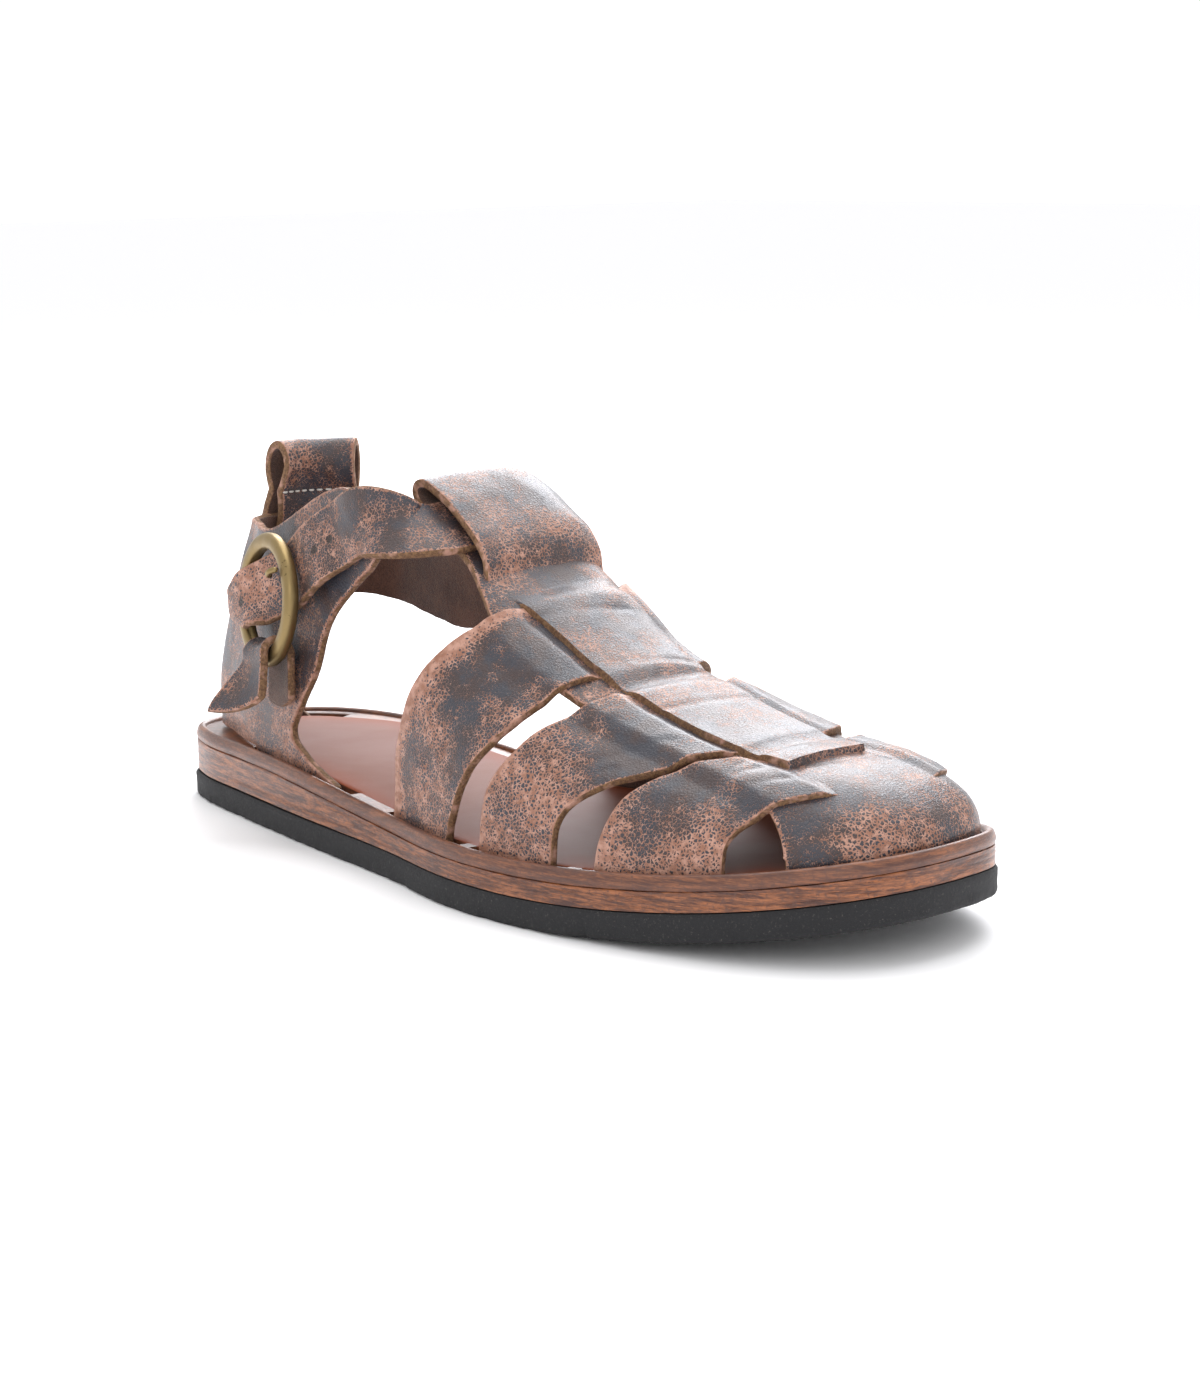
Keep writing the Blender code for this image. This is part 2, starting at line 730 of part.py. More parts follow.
def make_vamp(group, helpers, look):
    vamp = make_strip(group)
    for number, rows in enumerate(CROSS_STRAPS):
        join(vamp, make_cross_strap(f"cross_strap_{number + 1}", rows, helpers))
    join(vamp, make_toe_piece(helpers))
    join(vamp, make_loop(helpers))
    return finish(vamp, look)


def heel_inset(turn):
    """The counter stands further in from the rim round the heel than at its lateral leg."""
    along = 0.5 * (1 - np.cos(turn))
    return HEEL_SET_IN * (1 - ramp(0.07, 0.17, along))


def wall_foot(turn):
    near = ring_point(turn, RIM_WIDTH + LEATHER)
    far = ring_point(turn, RIM_WIDTH + LEATHER + HEEL_SET_IN)
    share = np.asarray(heel_inset(turn) / HEEL_SET_IN)
    return near + (far - near) * share[..., None]


def wall_point(turn, up):
    """The foot side of the heel counter, by its turn round the heel and its share of the height."""
    base = wall_foot(turn)
    inward = table_value(HEEL_LEAN, "up", "inward", up)
    forward = table_value(HEEL_LEAN, "up", "forward", up)
    back = 1 - ramp(0.0, 0.22, along_of(base[..., 0]))
    x = base[..., 0] + HEEL_FORWARD * forward * back
    y = base[..., 1] * (1 - inward)
    return np.stack([x, y, up * COUNTER_HEIGHT], -1)


def wall_top(side, along):
    """The counter's top edge, which rises into a lobe on the lateral side."""
    lobe = ramp(0.17, 0.34, along) if side < 0 else 0.0
    return BACK_HEIGHT + LOBE_RISE * lobe


def wall_base(side, along, x):
    """The counter's lower edge: just clear of the bed, and down in its slot at each leg."""
    free = bed_height(x) + 0.5 * LEATHER
    seated = insole_base(x) + CLEARANCE
    down = 0.0
    for leg in COUNTER_LEGS:
        if leg.side == side:
            down = max(down, float(leg.rear <= along <= leg.front))
    return free + (seated - free) * down


def make_counter(group, helpers, look):
    front = float(turn_on_ring(-1, COUNTER_REACH))
    turns = list(np.linspace(front, -front, 41))
    for leg in COUNTER_LEGS:
        for along in (leg.rear, leg.front):
            edge = float(turn_on_ring(-1, along)) * -leg.side
            turns += [edge - LEG_STEP_TURN, edge + LEG_STEP_TURN]
    turns = np.array(sorted(turns, reverse=True))
    shares = np.linspace(0.0, 1.0, 9)
    grid = []
    for turn in turns:
        side = -1 if turn > 0 else 1
        place = wall_foot(turn)
        along = float(along_of(place[0]))
        edge_along = 0.5 * (1 - math.cos(turn))
        low = wall_base(side, edge_along, place[0]) / COUNTER_HEIGHT
        ups = low + (wall_top(side, along) - low) * shares
        grid.append([wall_point(turn, up) for up in ups])
    counter = leather_sheet("heel_counter", np.array(grid), -1, group)
    cut(counter, opening_cutter("lateral_opening", LATERAL_OPENING, -1, helpers))
    cut(counter, opening_cutter("medial_opening", MEDIAL_OPENING, 1, helpers))
    return finish(counter, look)


def opening_cutter(name, corners, side, helpers):
    """A prism across the shoe with a rounded outline."""
    along = column(corners, "along")
    up = column(corners, "up")
    knots = np.arange(len(corners), dtype=float)
    at = np.arange(0, len(corners) - 1 + 0.01, 0.5)
    outline = np.stack([x_of(smooth(knots, along, at)), COUNTER_HEIGHT * smooth(knots, up, at)], 1)
    near = side * 0.01 * BALL_WIDTH
    far = side * 0.8 * BALL_WIDTH
    count = len(outline)
    points = [(x, near, z) for x, z in outline] + [(x, far, z) for x, z in outline]
    faces = [tuple(range(count)), tuple(range(2 * count - 1, count - 1, -1))]
    for i in range(count):
        j = (i + 1) % count
        faces.append((i, j, count + j, count + i))
    return outward(mesh_object(name, points, faces, helpers))


def surface_frame(surface, a, b, step):
    """A place on a surface and the way out of it."""
    place = surface(a, b)
    over_a = surface(a + step, b) - surface(a - step, b)
    over_b = surface(a, b + step) - surface(a, b - step)
    normal = np.cross(over_a, over_b)
    return place, normal / np.linalg.norm(normal)


def wall_stations(rows, side):
    stations = []
    for row in rows:
        turn = float(turn_on_ring(-1, row.along)) * -side
        place, out = surface_frame(wall_point, turn, row.up, WALL_TURN_STEP)
        stations.append((place + out * (row.lift * LEATHER + CLEARANCE), out))
    return stations


def instep_stations():
    stations = []
    for row in STRAP_INSTEP:
        place, out = surface_frame(last_point, x_of(row.along), row.turn, NORMAL_STEP)
        stations.append((place + out * (row.lift * LEATHER + CLEARANCE), out))
    return stations


def buckle_stations():
    """The strap's way under the ring's front, up through the ring and over its back."""
    centre, normal, heel_ward, up = ring_frame()
    slope = math.radians(STRAP_SLOPE)
    ahead = heel_ward * math.cos(slope) - up * math.sin(slope)
    radius = (RING_DIAMETER - RING_WIRE) / 2
    start = centre + up * STRAP_RAISE
    stations = []
    for row in STRAP_BUCKLE:
        place = start + ahead * row.reach * radius + normal * row.height * LEATHER
        stations.append((place, normal))
    return stations


def strap_route():
    """The ankle strap's middle line on its foot side, with the way out of the leg at each point."""
    stations = wall_stations(STRAP_MEDIAL, 1) + instep_stations()
    stations += wall_stations(STRAP_LATERAL, -1) + buckle_stations()
    points = np.array([place for place, _ in stations])
    outs = np.array([out for _, out in stations])
    return points, outs


def make_ankle_strap(group, look):
    points, outs = strap_route()
    reach = np.concatenate([[0.0], np.cumsum(np.linalg.norm(np.diff(points, axis=0), axis=1))])
    at = np.linspace(0, reach[-1], 35)
    line = np.stack([smooth(reach, points[:, k], at) for k in range(3)], 1)
    out = np.stack([smooth(reach, outs[:, k], at) for k in range(3)], 1)
    out /= np.linalg.norm(out, axis=1)[:, None]
    ahead = np.gradient(line, axis=0)
    ahead /= np.linalg.norm(ahead, axis=1)[:, None]
    wide = np.cross(ahead, out)
    wide /= np.linalg.norm(wide, axis=1)[:, None]
    shares = np.linspace(-0.5, 0.5, 5)
    grid = line[:, None, :] + wide[:, None, :] * (STRAP_WIDTH * shares)[None, :, None]
    return finish(leather_sheet("ankle_strap", grid, -1, group), look)


def ring_frame():
    """The buckle ring's middle and normal, with the ways to the heel and up in its own plane."""
    turn = float(turn_on_ring(-1, RING_ALONG))
    place, out = surface_frame(wall_point, turn, RING_UP, WALL_TURN_STEP)
    heel_ward = np.cross(out, (0.0, 0.0, 1.0))
    normal = out + heel_ward * RING_TIP
    normal /= np.linalg.norm(normal)
    heel_ward -= normal * np.dot(heel_ward, normal)
    heel_ward /= np.linalg.norm(heel_ward)
    up = np.cross(heel_ward, normal)
    return place + out * RING_LIFT * LEATHER, normal, heel_ward, up


def make_ring(group, look):
    """The brass ring, tipped so that the strap dives under its front and over its back."""
    centre, normal, _, _ = ring_frame()
    bpy.ops.mesh.primitive_torus_add(
        major_segments=28,
        minor_segments=8,
        major_radius=(RING_DIAMETER - RING_WIRE) / 2,
        minor_radius=RING_WIRE / 2,
    )
    ring = bpy.context.object
    ring.name = "buckle_ring"
    for old in list(ring.users_collection):
        old.objects.unlink(ring)
    group.objects.link(ring)
    ring.rotation_mode = "QUATERNION"
    ring.rotation_quaternion = Vector(normal).to_track_quat("Z", "Y")
    ring.location = tuple(centre)
    return finish(ring, look, 60)


def make_keeper(group, look):
    """The short strap folded round the ring's lower side, with its cut end hanging outside."""
    centre, normal, heel_ward, up = ring_frame()
    down = heel_ward * KEEPER_SLANT - up
    down /= np.linalg.norm(down)
    across = np.cross(down, normal)
    ring_radius = (RING_DIAMETER - RING_WIRE) / 2
    radius = RING_WIRE / 2 + 2.6 * CLEARANCE
    path = [(KEEPER_LENGTH * share, -radius) for share in (0.9, 0.6, 0.3)]
    for step in range(9):
        angle = math.pi * step / 8
        path.append((-radius * math.sin(angle), -radius * math.cos(angle)))
    path += [(KEEPER_LENGTH * share, radius) for share in (0.3, 0.6, 1.0)]
    grid = []
    for drop, lift in path:
        row = []
        for share in (-0.5, -0.3, -0.1, 0.1, 0.3, 0.5):
            aside = KEEPER_WIDTH * share
            reach = math.sqrt(ring_radius**2 - aside**2) + drop
            row.append(centre + down * reach + across * aside + normal * lift)
        grid.append(row)
    return finish(leather_sheet("buckle_keeper", np.array(grid), -1, group), look)


def make_pull_loop(group, look):
    """The loop behind the heel: two tails astride the counter's top edge and a tube above them."""
    knots = np.arange(len(PULL_FOLD), dtype=float)
    at = np.linspace(0, len(PULL_FOLD) - 1, 2 * len(PULL_FOLD) - 1)
    ups = smooth(knots, column(PULL_FOLD, "up"), at)
    lifts = smooth(knots, column(PULL_FOLD, "lift"), at) * LEATHER
    grid = []
    for up, lift in zip(ups, lifts):
        row = []
        for share in (-0.5, -0.25, 0.0, 0.25, 0.5):
            y = PULL_SHIFT * BALL_WIDTH + PULL_WIDTH * share
            turn = turn_at_back(y)
            place, out = surface_frame(wall_point, turn, up, PULL_TURN_STEP)
            row.append(place + out * lift)
        grid.append(row)
    return finish(leather_sheet("pull_loop", np.array(grid), -1, group), look)


def turn_at_back(y):
    """The turn round the heel at which the counter's foot has this y."""
    turns = np.linspace(0.6, -0.6, 61)
    return float(np.interp(y, wall_foot(turns)[:, 1], turns))


def main():
    clear_scene()
    group = bpy.data.collections.new("fisherman_sandal")
    helpers = bpy.data.collections.new("cutters")
    bpy.context.scene.collection.children.link(group)
    bpy.context.scene.collection.children.link(helpers)
    leather = material("crackled_leather", STRAP_COLOUR, 0.5)
    make_outsole(group, material("rubber", RUBBER_COLOUR, 0.85))
    make_midsole(group, material("stacked_leather", STACK_COLOUR, 0.45))
    make_insole(group, helpers, material("insole_leather", INSOLE_COLOUR, 0.35))
    make_vamp(group, helpers, leather)
    make_counter(group, helpers, leather)
    make_ankle_strap(group, leather)
    make_ring(group, material("aged_brass", BRASS_COLOUR, 0.35, 1.0))
    make_keeper(group, leather)
    make_pull_loop(group, leather)


main()
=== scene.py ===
"""The looks of the fisherman sandal: worn crackled leather straps, insole, stacked midsole, rubber
outsole and brass ring, modelled as fine meshes around the fixed CAD frame.

Metres, in the frame's own axes: +X from heel to toe, +Y to the inner side, +Z up. Tables hold shares
of the named sizes: "along" is a share of the shoe's length from the heel, "across" a share of the
ball width from the middle, "up" a share of the counter's height, "lift" a share of the leather's
thickness, and "turn" runs over the foot from its lateral slot at 0 to its medial slot at 1.
"""

import functools
import math
from collections import namedtuple

import bmesh
import bpy
import numpy as np
from mathutils import Matrix, Vector, geometry


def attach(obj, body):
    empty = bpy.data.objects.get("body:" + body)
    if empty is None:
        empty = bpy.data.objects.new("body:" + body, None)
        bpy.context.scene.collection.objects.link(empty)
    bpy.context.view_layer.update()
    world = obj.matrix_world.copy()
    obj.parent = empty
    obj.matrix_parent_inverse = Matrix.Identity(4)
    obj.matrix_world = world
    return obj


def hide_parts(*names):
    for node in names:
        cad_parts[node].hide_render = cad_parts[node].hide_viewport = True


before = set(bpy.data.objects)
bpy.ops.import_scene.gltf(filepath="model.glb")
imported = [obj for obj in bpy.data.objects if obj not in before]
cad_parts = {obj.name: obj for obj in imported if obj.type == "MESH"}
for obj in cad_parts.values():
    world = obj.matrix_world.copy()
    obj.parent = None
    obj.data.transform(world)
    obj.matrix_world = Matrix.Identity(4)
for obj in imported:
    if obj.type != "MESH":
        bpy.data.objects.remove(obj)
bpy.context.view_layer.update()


def rows_of(kind, *rows):
    """A table's rows, with a name for each column."""
    return tuple(kind(*row) for row in rows)


SHOE_LENGTH = 0.2895
BALL_WIDTH = 0.1057
INSTEP_HEIGHT = 0.095
COUNTER_HEIGHT = 0.088

OUTSOLE_THICKNESS = 0.0074
HEEL_STACK = 0.0095
FOREFOOT_STACK = 0.0050
INSOLE_THICKNESS = 0.0030
LIP_HEIGHT = 0.0011
TOE_SPRING = 0.0112
MIDSOLE_STEP = 0.0008
RIM_WIDTH = 0.0046

LEATHER = 0.0024
CLEARANCE = 0.0003
SLOT_PLAY = 0.0007
SLOT_END_TURN = 0.034
STRAP_WIDTH = 0.0195
RING_DIAMETER = 0.0380
RING_WIRE = 0.0043
RING_RADIUS = (RING_DIAMETER - RING_WIRE) / 2
KEEPER_WIDTH = 0.0145
PULL_WIDTH = 0.0270

TOP_ROUND = 0.0005
FLESH_ROUND = 0.0004
EDGE_BULGE = 0.00012
EDGE_OFFSETS = (0.0, 0.00012, 0.0003, 0.0006, 0.0010)
MILLIMETRES = 1000.0
FULL_TURN = 2 * math.pi

OUTLINE_POINTS = 720

SOLE_STEPS = 430
SLOT_STEP = 0.0015
AXIS_SHARE = 0.80
TO_THE_MIDDLE = (0.08, 0.35, 0.7, 1.0)
BED_SHARES = (0.05, 0.12, 0.2, 0.3, 0.4, 0.5, 0.6, 0.7, 0.8, 0.9, 1.0)
OUTSOLE_PROFILE = (
    (0.0, 0.0009), (0.0005, 0.0002), (0.0012, 0.0), (0.0030, 0.0001), (0.0050, 0.0), (0.0066, 0.0)
)
RAGGED_HEIGHT = 0.0035
RAGGED_LOWEST = -0.6
STACK_SHARES = (0.06, 0.15, 0.27, 0.29, 0.40, 0.52, 0.54, 0.66, 0.77, 0.79, 0.90, 0.97)
GROOVED_SHARES = (0.27, 0.52, 0.77)
GROOVE_DEPTH = 0.00012
FOOT_ROWS = (0.35, 0.7, 1.0)
STRAP_END_ROWS = (0.33, 0.66, 1.0)
NOTCHES = (0.224, 0.493, 0.636, 0.754)
NOTCH_DEPTH = 0.0011
NOTCH_TURN = 0.006

LipRow = namedtuple("LipRow", "inset height")
LIP_ROWS = rows_of(LipRow,
    (MIDSOLE_STEP + 0.0001, -0.95 * INSOLE_THICKNESS),
    (MIDSOLE_STEP - 0.0002, -0.55 * INSOLE_THICKNESS), (MIDSOLE_STEP, -0.20 * INSOLE_THICKNESS),
    (MIDSOLE_STEP + 0.12 * RIM_WIDTH, 0.55 * LIP_HEIGHT),
    (MIDSOLE_STEP + 0.32 * RIM_WIDTH, LIP_HEIGHT),
    (MIDSOLE_STEP + 0.52 * RIM_WIDTH, 0.70 * LIP_HEIGHT), (0.80 * RIM_WIDTH, 0.0)
)

WOVEN_LIFT = 0.0021
BRIDGE_APPROACH = 0.022
BRIDGE_OVERLAP = 0.006
MARGIN_FAR = 0.055
MARGIN_NEAR = 0.004
SLIT_SHARP = 0.0035
DIVE = 0.045
DIVE_KEPT = 0.25
CUT_STEEPNESS = 1.0
STRIP_START = 0.424
TOE_FAN_START = 0.862
TOE_LIFT = 0.0006
NORMAL_STEP = 0.0004
WALL_STEP = 0.02
FINE_STEP = 0.01
LAST_STEP = 0.002
SMALLEST = 1e-9
MOST_STEEP = 4.0
FLAP_SPREAD = 0.014
FOLD_SET_IN = 0.004
TIP_TAPER = 0.010
TIP_NARROWING = 0.16
TIP_SLANT = 0.0022
TIP_CORNER = 0.0085
KEEPER_FLARE = 0.0020
KEEPER_STAND = 0.0090
KEEPER_SPREAD = 0.32
KEEPER_END_SLANT = 0.0036
COUNTER_GRID = 0.0013
COUNTER_BORDER_STEP = 0.0008
BORDER_CHECK_STEP = 0.0002
COUNTER_BORDER_SNAP = 0.00012
OPENING_FOOT = 0.205
LOBE_TOP = 1.158
OPENING_FRONT = 0.43
RING_BAND = 0.0048
PRONG_RADIUS = 0.0009
PRONG_LINE = (
    (0.50, 0.46, 1.20),
    (0.56, 0.50, 1.75),
    (0.66, 0.56, 1.80),
    (0.76, 0.61, 1.15),
)
STITCHES = 9
STITCH_UP = 1.065
STITCH_FACES = ((-0.85, -1), (1.80, 1))
STITCH_LIFT = 0.0001
THREAD_RADIUS = 0.00032

Unevenness = namedtuple("Unevenness", "depth size seed")
SOLE_RAGGED = Unevenness(0.00028, 0.006, 11)
OUTSOLE_UNEVEN = Unevenness(0.00012, 0.02, 12)
STACK_UNEVEN = Unevenness(0.00010, 0.03, 21)
LIP_UNEVEN = Unevenness(0.00008, 0.04, 31)
STRIP_WANDER = Unevenness(0.0006, 0.03, 41)
STRIP_UNEVEN = Unevenness(0.00022, 0.022, 42)
CROSS_UNEVEN = Unevenness(0.00022, 0.018, 50)
FLAP_RAGGED = Unevenness(0.0022, 0.010, 61)
FOLD_UNEVEN = Unevenness(0.0002, 0.02, 62)
TIP_RAGGED = Unevenness(0.0004, 0.009, 71)
STRAP_UNEVEN = Unevenness(0.00018, 0.02, 72)
KEEPER_UNEVEN = Unevenness(0.00012, 0.012, 81)
PULL_UNEVEN = Unevenness(0.00018, 0.014, 91)
COUNTER_RAGGED = Unevenness(0.00012, 0.006, 101)
COUNTER_UNEVEN = Unevenness(0.00022, 0.03, 111)
RING_UNEVEN = Unevenness(0.00008, 0.008, 121)

WornRow = namedtuple("WornRow", "turn worn")
STRAP_WEAR = (
    rows_of(WornRow, (0.0, 0.24), (0.12, 0.16), (0.25, 0.08), (0.4, 0.0), (0.7, 0.05), (1.0, 0.2)),
    rows_of(WornRow, (0.0, 0.42), (0.13, 0.28), (0.21, 0.0), (0.4, -0.10), (0.7, 0.0), (1.0, 0.2)),
    rows_of(WornRow, (0.0, 0.34), (0.15, 0.20), (0.25, 0.02), (0.4, 0.0), (0.7, 0.0), (1.0, 0.2)),
)
REAR_RUB = (0.9, 0.25, 0.25)
REAR_RUB_WIDTH = 0.0035
STRIP_WORN = 0.02
TOE_WORN = 0.14
STRAP_WORN = 0.08
KEEPER_WORN = 0.10
PULL_WORN = 0.15
COUNTER_WORN = 0.04
FLAP_WORN = 0.25
TIP_WORN = 0.30
TIP_WORN_REACH = 0.05
FOOT_OF_COUNTER_WORN = 0.25
WEAR_KEPT = 0.45

Crease = namedtuple("Crease", "start end depth width")
STRIP_CREASES = rows_of(Crease,
    ((0.625, 0.36), (0.650, 0.60), 0.00045, 0.0016), ((0.668, 0.38), (0.690, 0.62), 0.00040, 0.0015),
    ((0.715, 0.40), (0.728, 0.60), 0.00040, 0.0015), ((0.560, 0.40), (0.572, 0.58), 0.00030, 0.0015),
    ((0.865, 0.42), (0.872, 0.60), 0.00035, 0.0016)
)
STRAP_CREASES = (
    rows_of(Crease,
        ((0.520, 0.06), (0.575, 0.30), 0.00035, 0.0014),
        ((0.545, 0.10), (0.560, 0.26), 0.00030, 0.0012),
        ((0.560, 0.22), (0.620, 0.34), 0.00030, 0.0014)
    ),
    rows_of(Crease,
        ((0.655, 0.10), (0.700, 0.34), 0.00040, 0.0015),
        ((0.668, 0.08), (0.735, 0.24), 0.00030, 0.0013),
        ((0.700, 0.20), (0.760, 0.36), 0.00030, 0.0014)
    ),
    rows_of(Crease,
        ((0.800, 0.10), (0.850, 0.36), 0.00040, 0.0016),
        ((0.815, 0.14), (0.880, 0.34), 0.00030, 0.0013)
    ),
)

SLATE = (0.034, 0.034, 0.046, 1.0)
BROWN_SLATE = (0.046, 0.027, 0.026, 1.0)
TAN = (0.50, 0.275, 0.205, 1.0)
DEEP_TAN = (0.29, 0.127, 0.077, 1.0)
EDGE_OLIVE = (0.25, 0.135, 0.062, 1.0)
EDGE_BROWN = (0.105, 0.050, 0.026, 1.0)
SUEDE = (0.165, 0.082, 0.054, 1.0)
DARK_SUEDE = (0.070, 0.033, 0.022, 1.0)
BED_PINK = (0.22, 0.080, 0.052, 1.0)
BED_BROWN = (0.20, 0.060, 0.030, 1.0)
# Painted shade: the orange brown of shade and reflected strap colour on the insole near its rim.
BED_RIM_PAINTED_SHADE = (0.24, 0.050, 0.014, 1.0)
STACK_DARK = (0.060, 0.016, 0.008, 1.0)
STACK_ORANGE = (0.38, 0.130, 0.045, 1.0)
LIP_BROWN = (0.105, 0.042, 0.028, 1.0)
RUBBER = (0.012, 0.012, 0.014, 1.0)
RUBBER_SPECK = (0.095, 0.085, 0.080, 1.0)
BRASS = (0.27, 0.195, 0.088, 1.0)
BRASS_PIT = (0.07, 0.046, 0.020, 1.0)
THREAD = (0.80, 0.78, 0.74, 1.0)
THREAD_SHADE = (0.55, 0.50, 0.46, 1.0)
# Painted shade: the dark inside of each strap hole, painted on the surface instead of cut.
HOLE_PAINTED_SHADE = (0.030, 0.013, 0.008, 1.0)
FLOOR = (0.95, 0.95, 0.965, 1.0)

HOLES_FROM_END = (0.0105, 0.0480, 0.0545)
HOLE_RADIUS = 0.0010
HOLE_EDGE = 0.0013
HOLE_SWELL = 0.0022

PHOTO_WIDTH = 1200
PHOTO_HEIGHT = 1384
FOCAL_PIXELS = 2906.0
CENTRE_PIXEL = (555.80, 755.07)
SENSOR_WIDTH = 36.0
CAMERA_TARGET = (0.00585, 0.0017, 0.030)
CAMERA_AZIMUTH = 41.277
CAMERA_ELEVATION = 11.991
CAMERA_DISTANCE = 0.800
CAMERA_ROLL = -0.75
WORLD_STRENGTH = 1.04
LIGHT_TARGET = (0.0, 0.0, 0.03)
Light = namedtuple("Light", "name place size power colour")
LIGHTS = rows_of(Light,
    ("overhead", (-0.15, 0.35, 1.1), (1.1, 0.9), 9.0, (1.0, 1.0, 1.0)),
    ("behind", (-0.75, 0.95, 0.75), (0.9, 0.7), 16.0, (0.96, 0.96, 1.0)),
    ("front", (0.9, -0.9, 0.7), (0.8, 0.6), 2.0, (1.0, 0.98, 0.96))
)
FLOOR_REACH = 6.0

SPRING_START = 0.64

SoleSection = namedtuple("SoleSection", "along lateral medial")
SOLE_SECTIONS = rows_of(SoleSection,
    (0.000, 0.005, 0.005), (0.015, -0.160, 0.158), (0.060, -0.233, 0.284), (0.160, -0.292, 0.354),
    (0.300, -0.361, 0.321), (0.450, -0.422, 0.333), (0.590, -0.497, 0.412), (0.710, -0.485, 0.487),
    (0.830, -0.414, 0.489), (0.930, -0.291, 0.409), (0.985, -0.131, 0.262), (1.000, 0.045, 0.045)
)

LastSection = namedtuple("LastSection", "along height lateral_full medial_full lean")
LAST_SECTIONS = rows_of(LastSection,
    (0.380, 1.060, 4.6, 5.4, 0.04), (0.430, 0.980, 4.6, 5.4, 0.04), (0.480, 0.890, 3.6, 5.2, 0.06),
    (0.540, 0.780, 2.4, 3.9, 0.05), (0.590, 0.690, 2.3, 2.9, 0.02), (0.645, 0.603, 2.4, 2.7, 0.0),
    (0.700, 0.540, 2.4, 2.8, 0.0), (0.760, 0.485, 2.5, 2.9, 0.0), (0.830, 0.440, 2.5, 2.8, 0.0)
)
TOE_CENTRE = 0.830
TOE_FULLNESS = 2.3
TOE_PIECE_START = 0.915
TOE_PIECE_ANGLE = 50.0

StrapRow = namedtuple("StrapRow", "turn rear front")
CROSS_STRAPS = (
    rows_of(StrapRow,
        (0.00, 0.455, 0.560), (0.10, 0.483, 0.583), (0.20, 0.505, 0.613), (0.30, 0.523, 0.631),
        (0.40, 0.540, 0.643), (0.50, 0.550, 0.655), (0.60, 0.543, 0.648), (0.70, 0.520, 0.632),
        (0.85, 0.493, 0.602), (1.00, 0.480, 0.588)
    ),
    rows_of(StrapRow,
        (0.00, 0.610, 0.702), (0.10, 0.616, 0.707), (0.20, 0.638, 0.742), (0.30, 0.660, 0.780),
        (0.40, 0.676, 0.805), (0.50, 0.685, 0.812), (0.60, 0.683, 0.808), (0.70, 0.664, 0.787),
        (0.85, 0.640, 0.747), (1.00, 0.630, 0.728)
    ),
    rows_of(StrapRow,
        (0.00, 0.748, 0.868), (0.10, 0.755, 0.870), (0.20, 0.766, 0.886), (0.30, 0.790, 0.912),
        (0.40, 0.824, 0.934), (0.50, 0.833, 0.936), (0.60, 0.830, 0.934), (0.70, 0.812, 0.922),
        (0.85, 0.785, 0.890), (1.00, 0.770, 0.872)
    ),
)

StripRow = namedtuple("StripRow", "along lateral lateral_slit medial_slit medial")
STRIP_ROWS = rows_of(StripRow,
    (0.415, -0.172, -0.150, 0.150, 0.208), (0.480, -0.180, -0.150, 0.165, 0.235),
    (0.540, -0.225, -0.147, 0.178, 0.272), (0.600, -0.240, -0.142, 0.175, 0.280),
    (0.680, -0.225, -0.128, 0.168, 0.262), (0.760, -0.205, -0.112, 0.165, 0.258),
    (0.830, -0.195, -0.092, 0.165, 0.262), (0.900, -0.200, -0.085, 0.180, 0.275),
    (0.930, -0.200, -0.085, 0.190, 0.275)
)

LoopRow = namedtuple("LoopRow", "along lift")
LOOP_ROWS = rows_of(LoopRow,
    (0.452, -0.15), (0.430, -0.12), (0.411, 0.00), (0.396, 0.60), (0.389, 1.60), (0.390, 2.95),
    (0.401, 3.95), (0.425, 4.15), (0.450, 3.95), (0.474, 3.60), (0.494, 2.60), (0.506, 1.00),
    (0.514, 0.75)
)
LOOP_LEVELLING = 0.4

OpeningCorner = namedtuple("OpeningCorner", "along up")
LATERAL_OPENING = rows_of(OpeningCorner,
    (0.365, 0.16), (0.335, 0.215), (0.292, 0.255), (0.255, 0.335), (0.277, 0.455), (0.303, 0.570),
    (0.325, 0.740), (0.362, 0.850), (0.402, 0.960), (0.395, 1.080), (0.350, 1.165)
)
MEDIAL_OPENING = rows_of(OpeningCorner,
    (0.080, 0.10), (0.060, 0.230), (0.036, 0.330), (0.040, 0.460), (0.062, 0.590), (0.110, 0.680),
    (0.170, 0.665), (0.230, 0.635), (0.290, 0.620), (0.340, 0.680), (0.385, 0.800), (0.392, 0.900),
    (0.380, 1.150)
)

Leg = namedtuple("Leg", "side rear front")
COUNTER_LEGS = rows_of(Leg,
    (-1, 0.165, 0.352), (1, 0.014, 0.070)
)
COUNTER_REACH = 0.450

WallStation = namedtuple("WallStation", "up inward forward")
HEEL_LEAN = rows_of(WallStation,
    (0.00, 0.000, 0.00), (0.24, 0.000, 0.00), (0.42, -0.008, 0.02), (0.60, 0.030, 0.25),
    (0.80, 0.090, 0.62), (1.00, 0.160, 1.00), (1.25, 0.220, 1.20)
)
HEEL_FORWARD = 0.0200
BACK_HEIGHT = 0.975
LOBE_RISE = 0.185
HEEL_SET_IN = 0.0038

WallRow = namedtuple("WallRow", "along up lift")
STRAP_MEDIAL = rows_of(WallRow,
    (0.230, 0.800, 1.2), (0.290, 0.830, 1.2), (0.345, 0.895, 1.2), (0.404, 0.960, 1.5)
)
InstepRow = namedtuple("InstepRow", "turn along lift")
STRAP_INSTEP = rows_of(InstepRow,
    (0.650, 0.450, 1.10), (0.580, 0.447, 1.05), (0.500, 0.442, 1.00), (0.420, 0.441, 1.00),
    (0.365, 0.430, 1.40)
)
STRAP_LATERAL = rows_of(WallRow,
    (0.380, 1.065, 1.4), (0.340, 1.010, 1.2)
)
RingRow = namedtuple("RingRow", "reach height")
STRAP_BUCKLE = rows_of(RingRow,
    (-1.35, -2.15), (-1.00, -2.15), (-0.55, -2.10), (0.00, -0.40), (0.55, 1.15), (0.90, 1.20),
    (1.15, 1.05)
)
STRAP_SLOPE = 31.0
STRAP_RAISE = 0.0028
RING_ALONG = 0.234
RING_UP = 0.765
RING_LIFT = 3.55
RING_TIP = 0.08
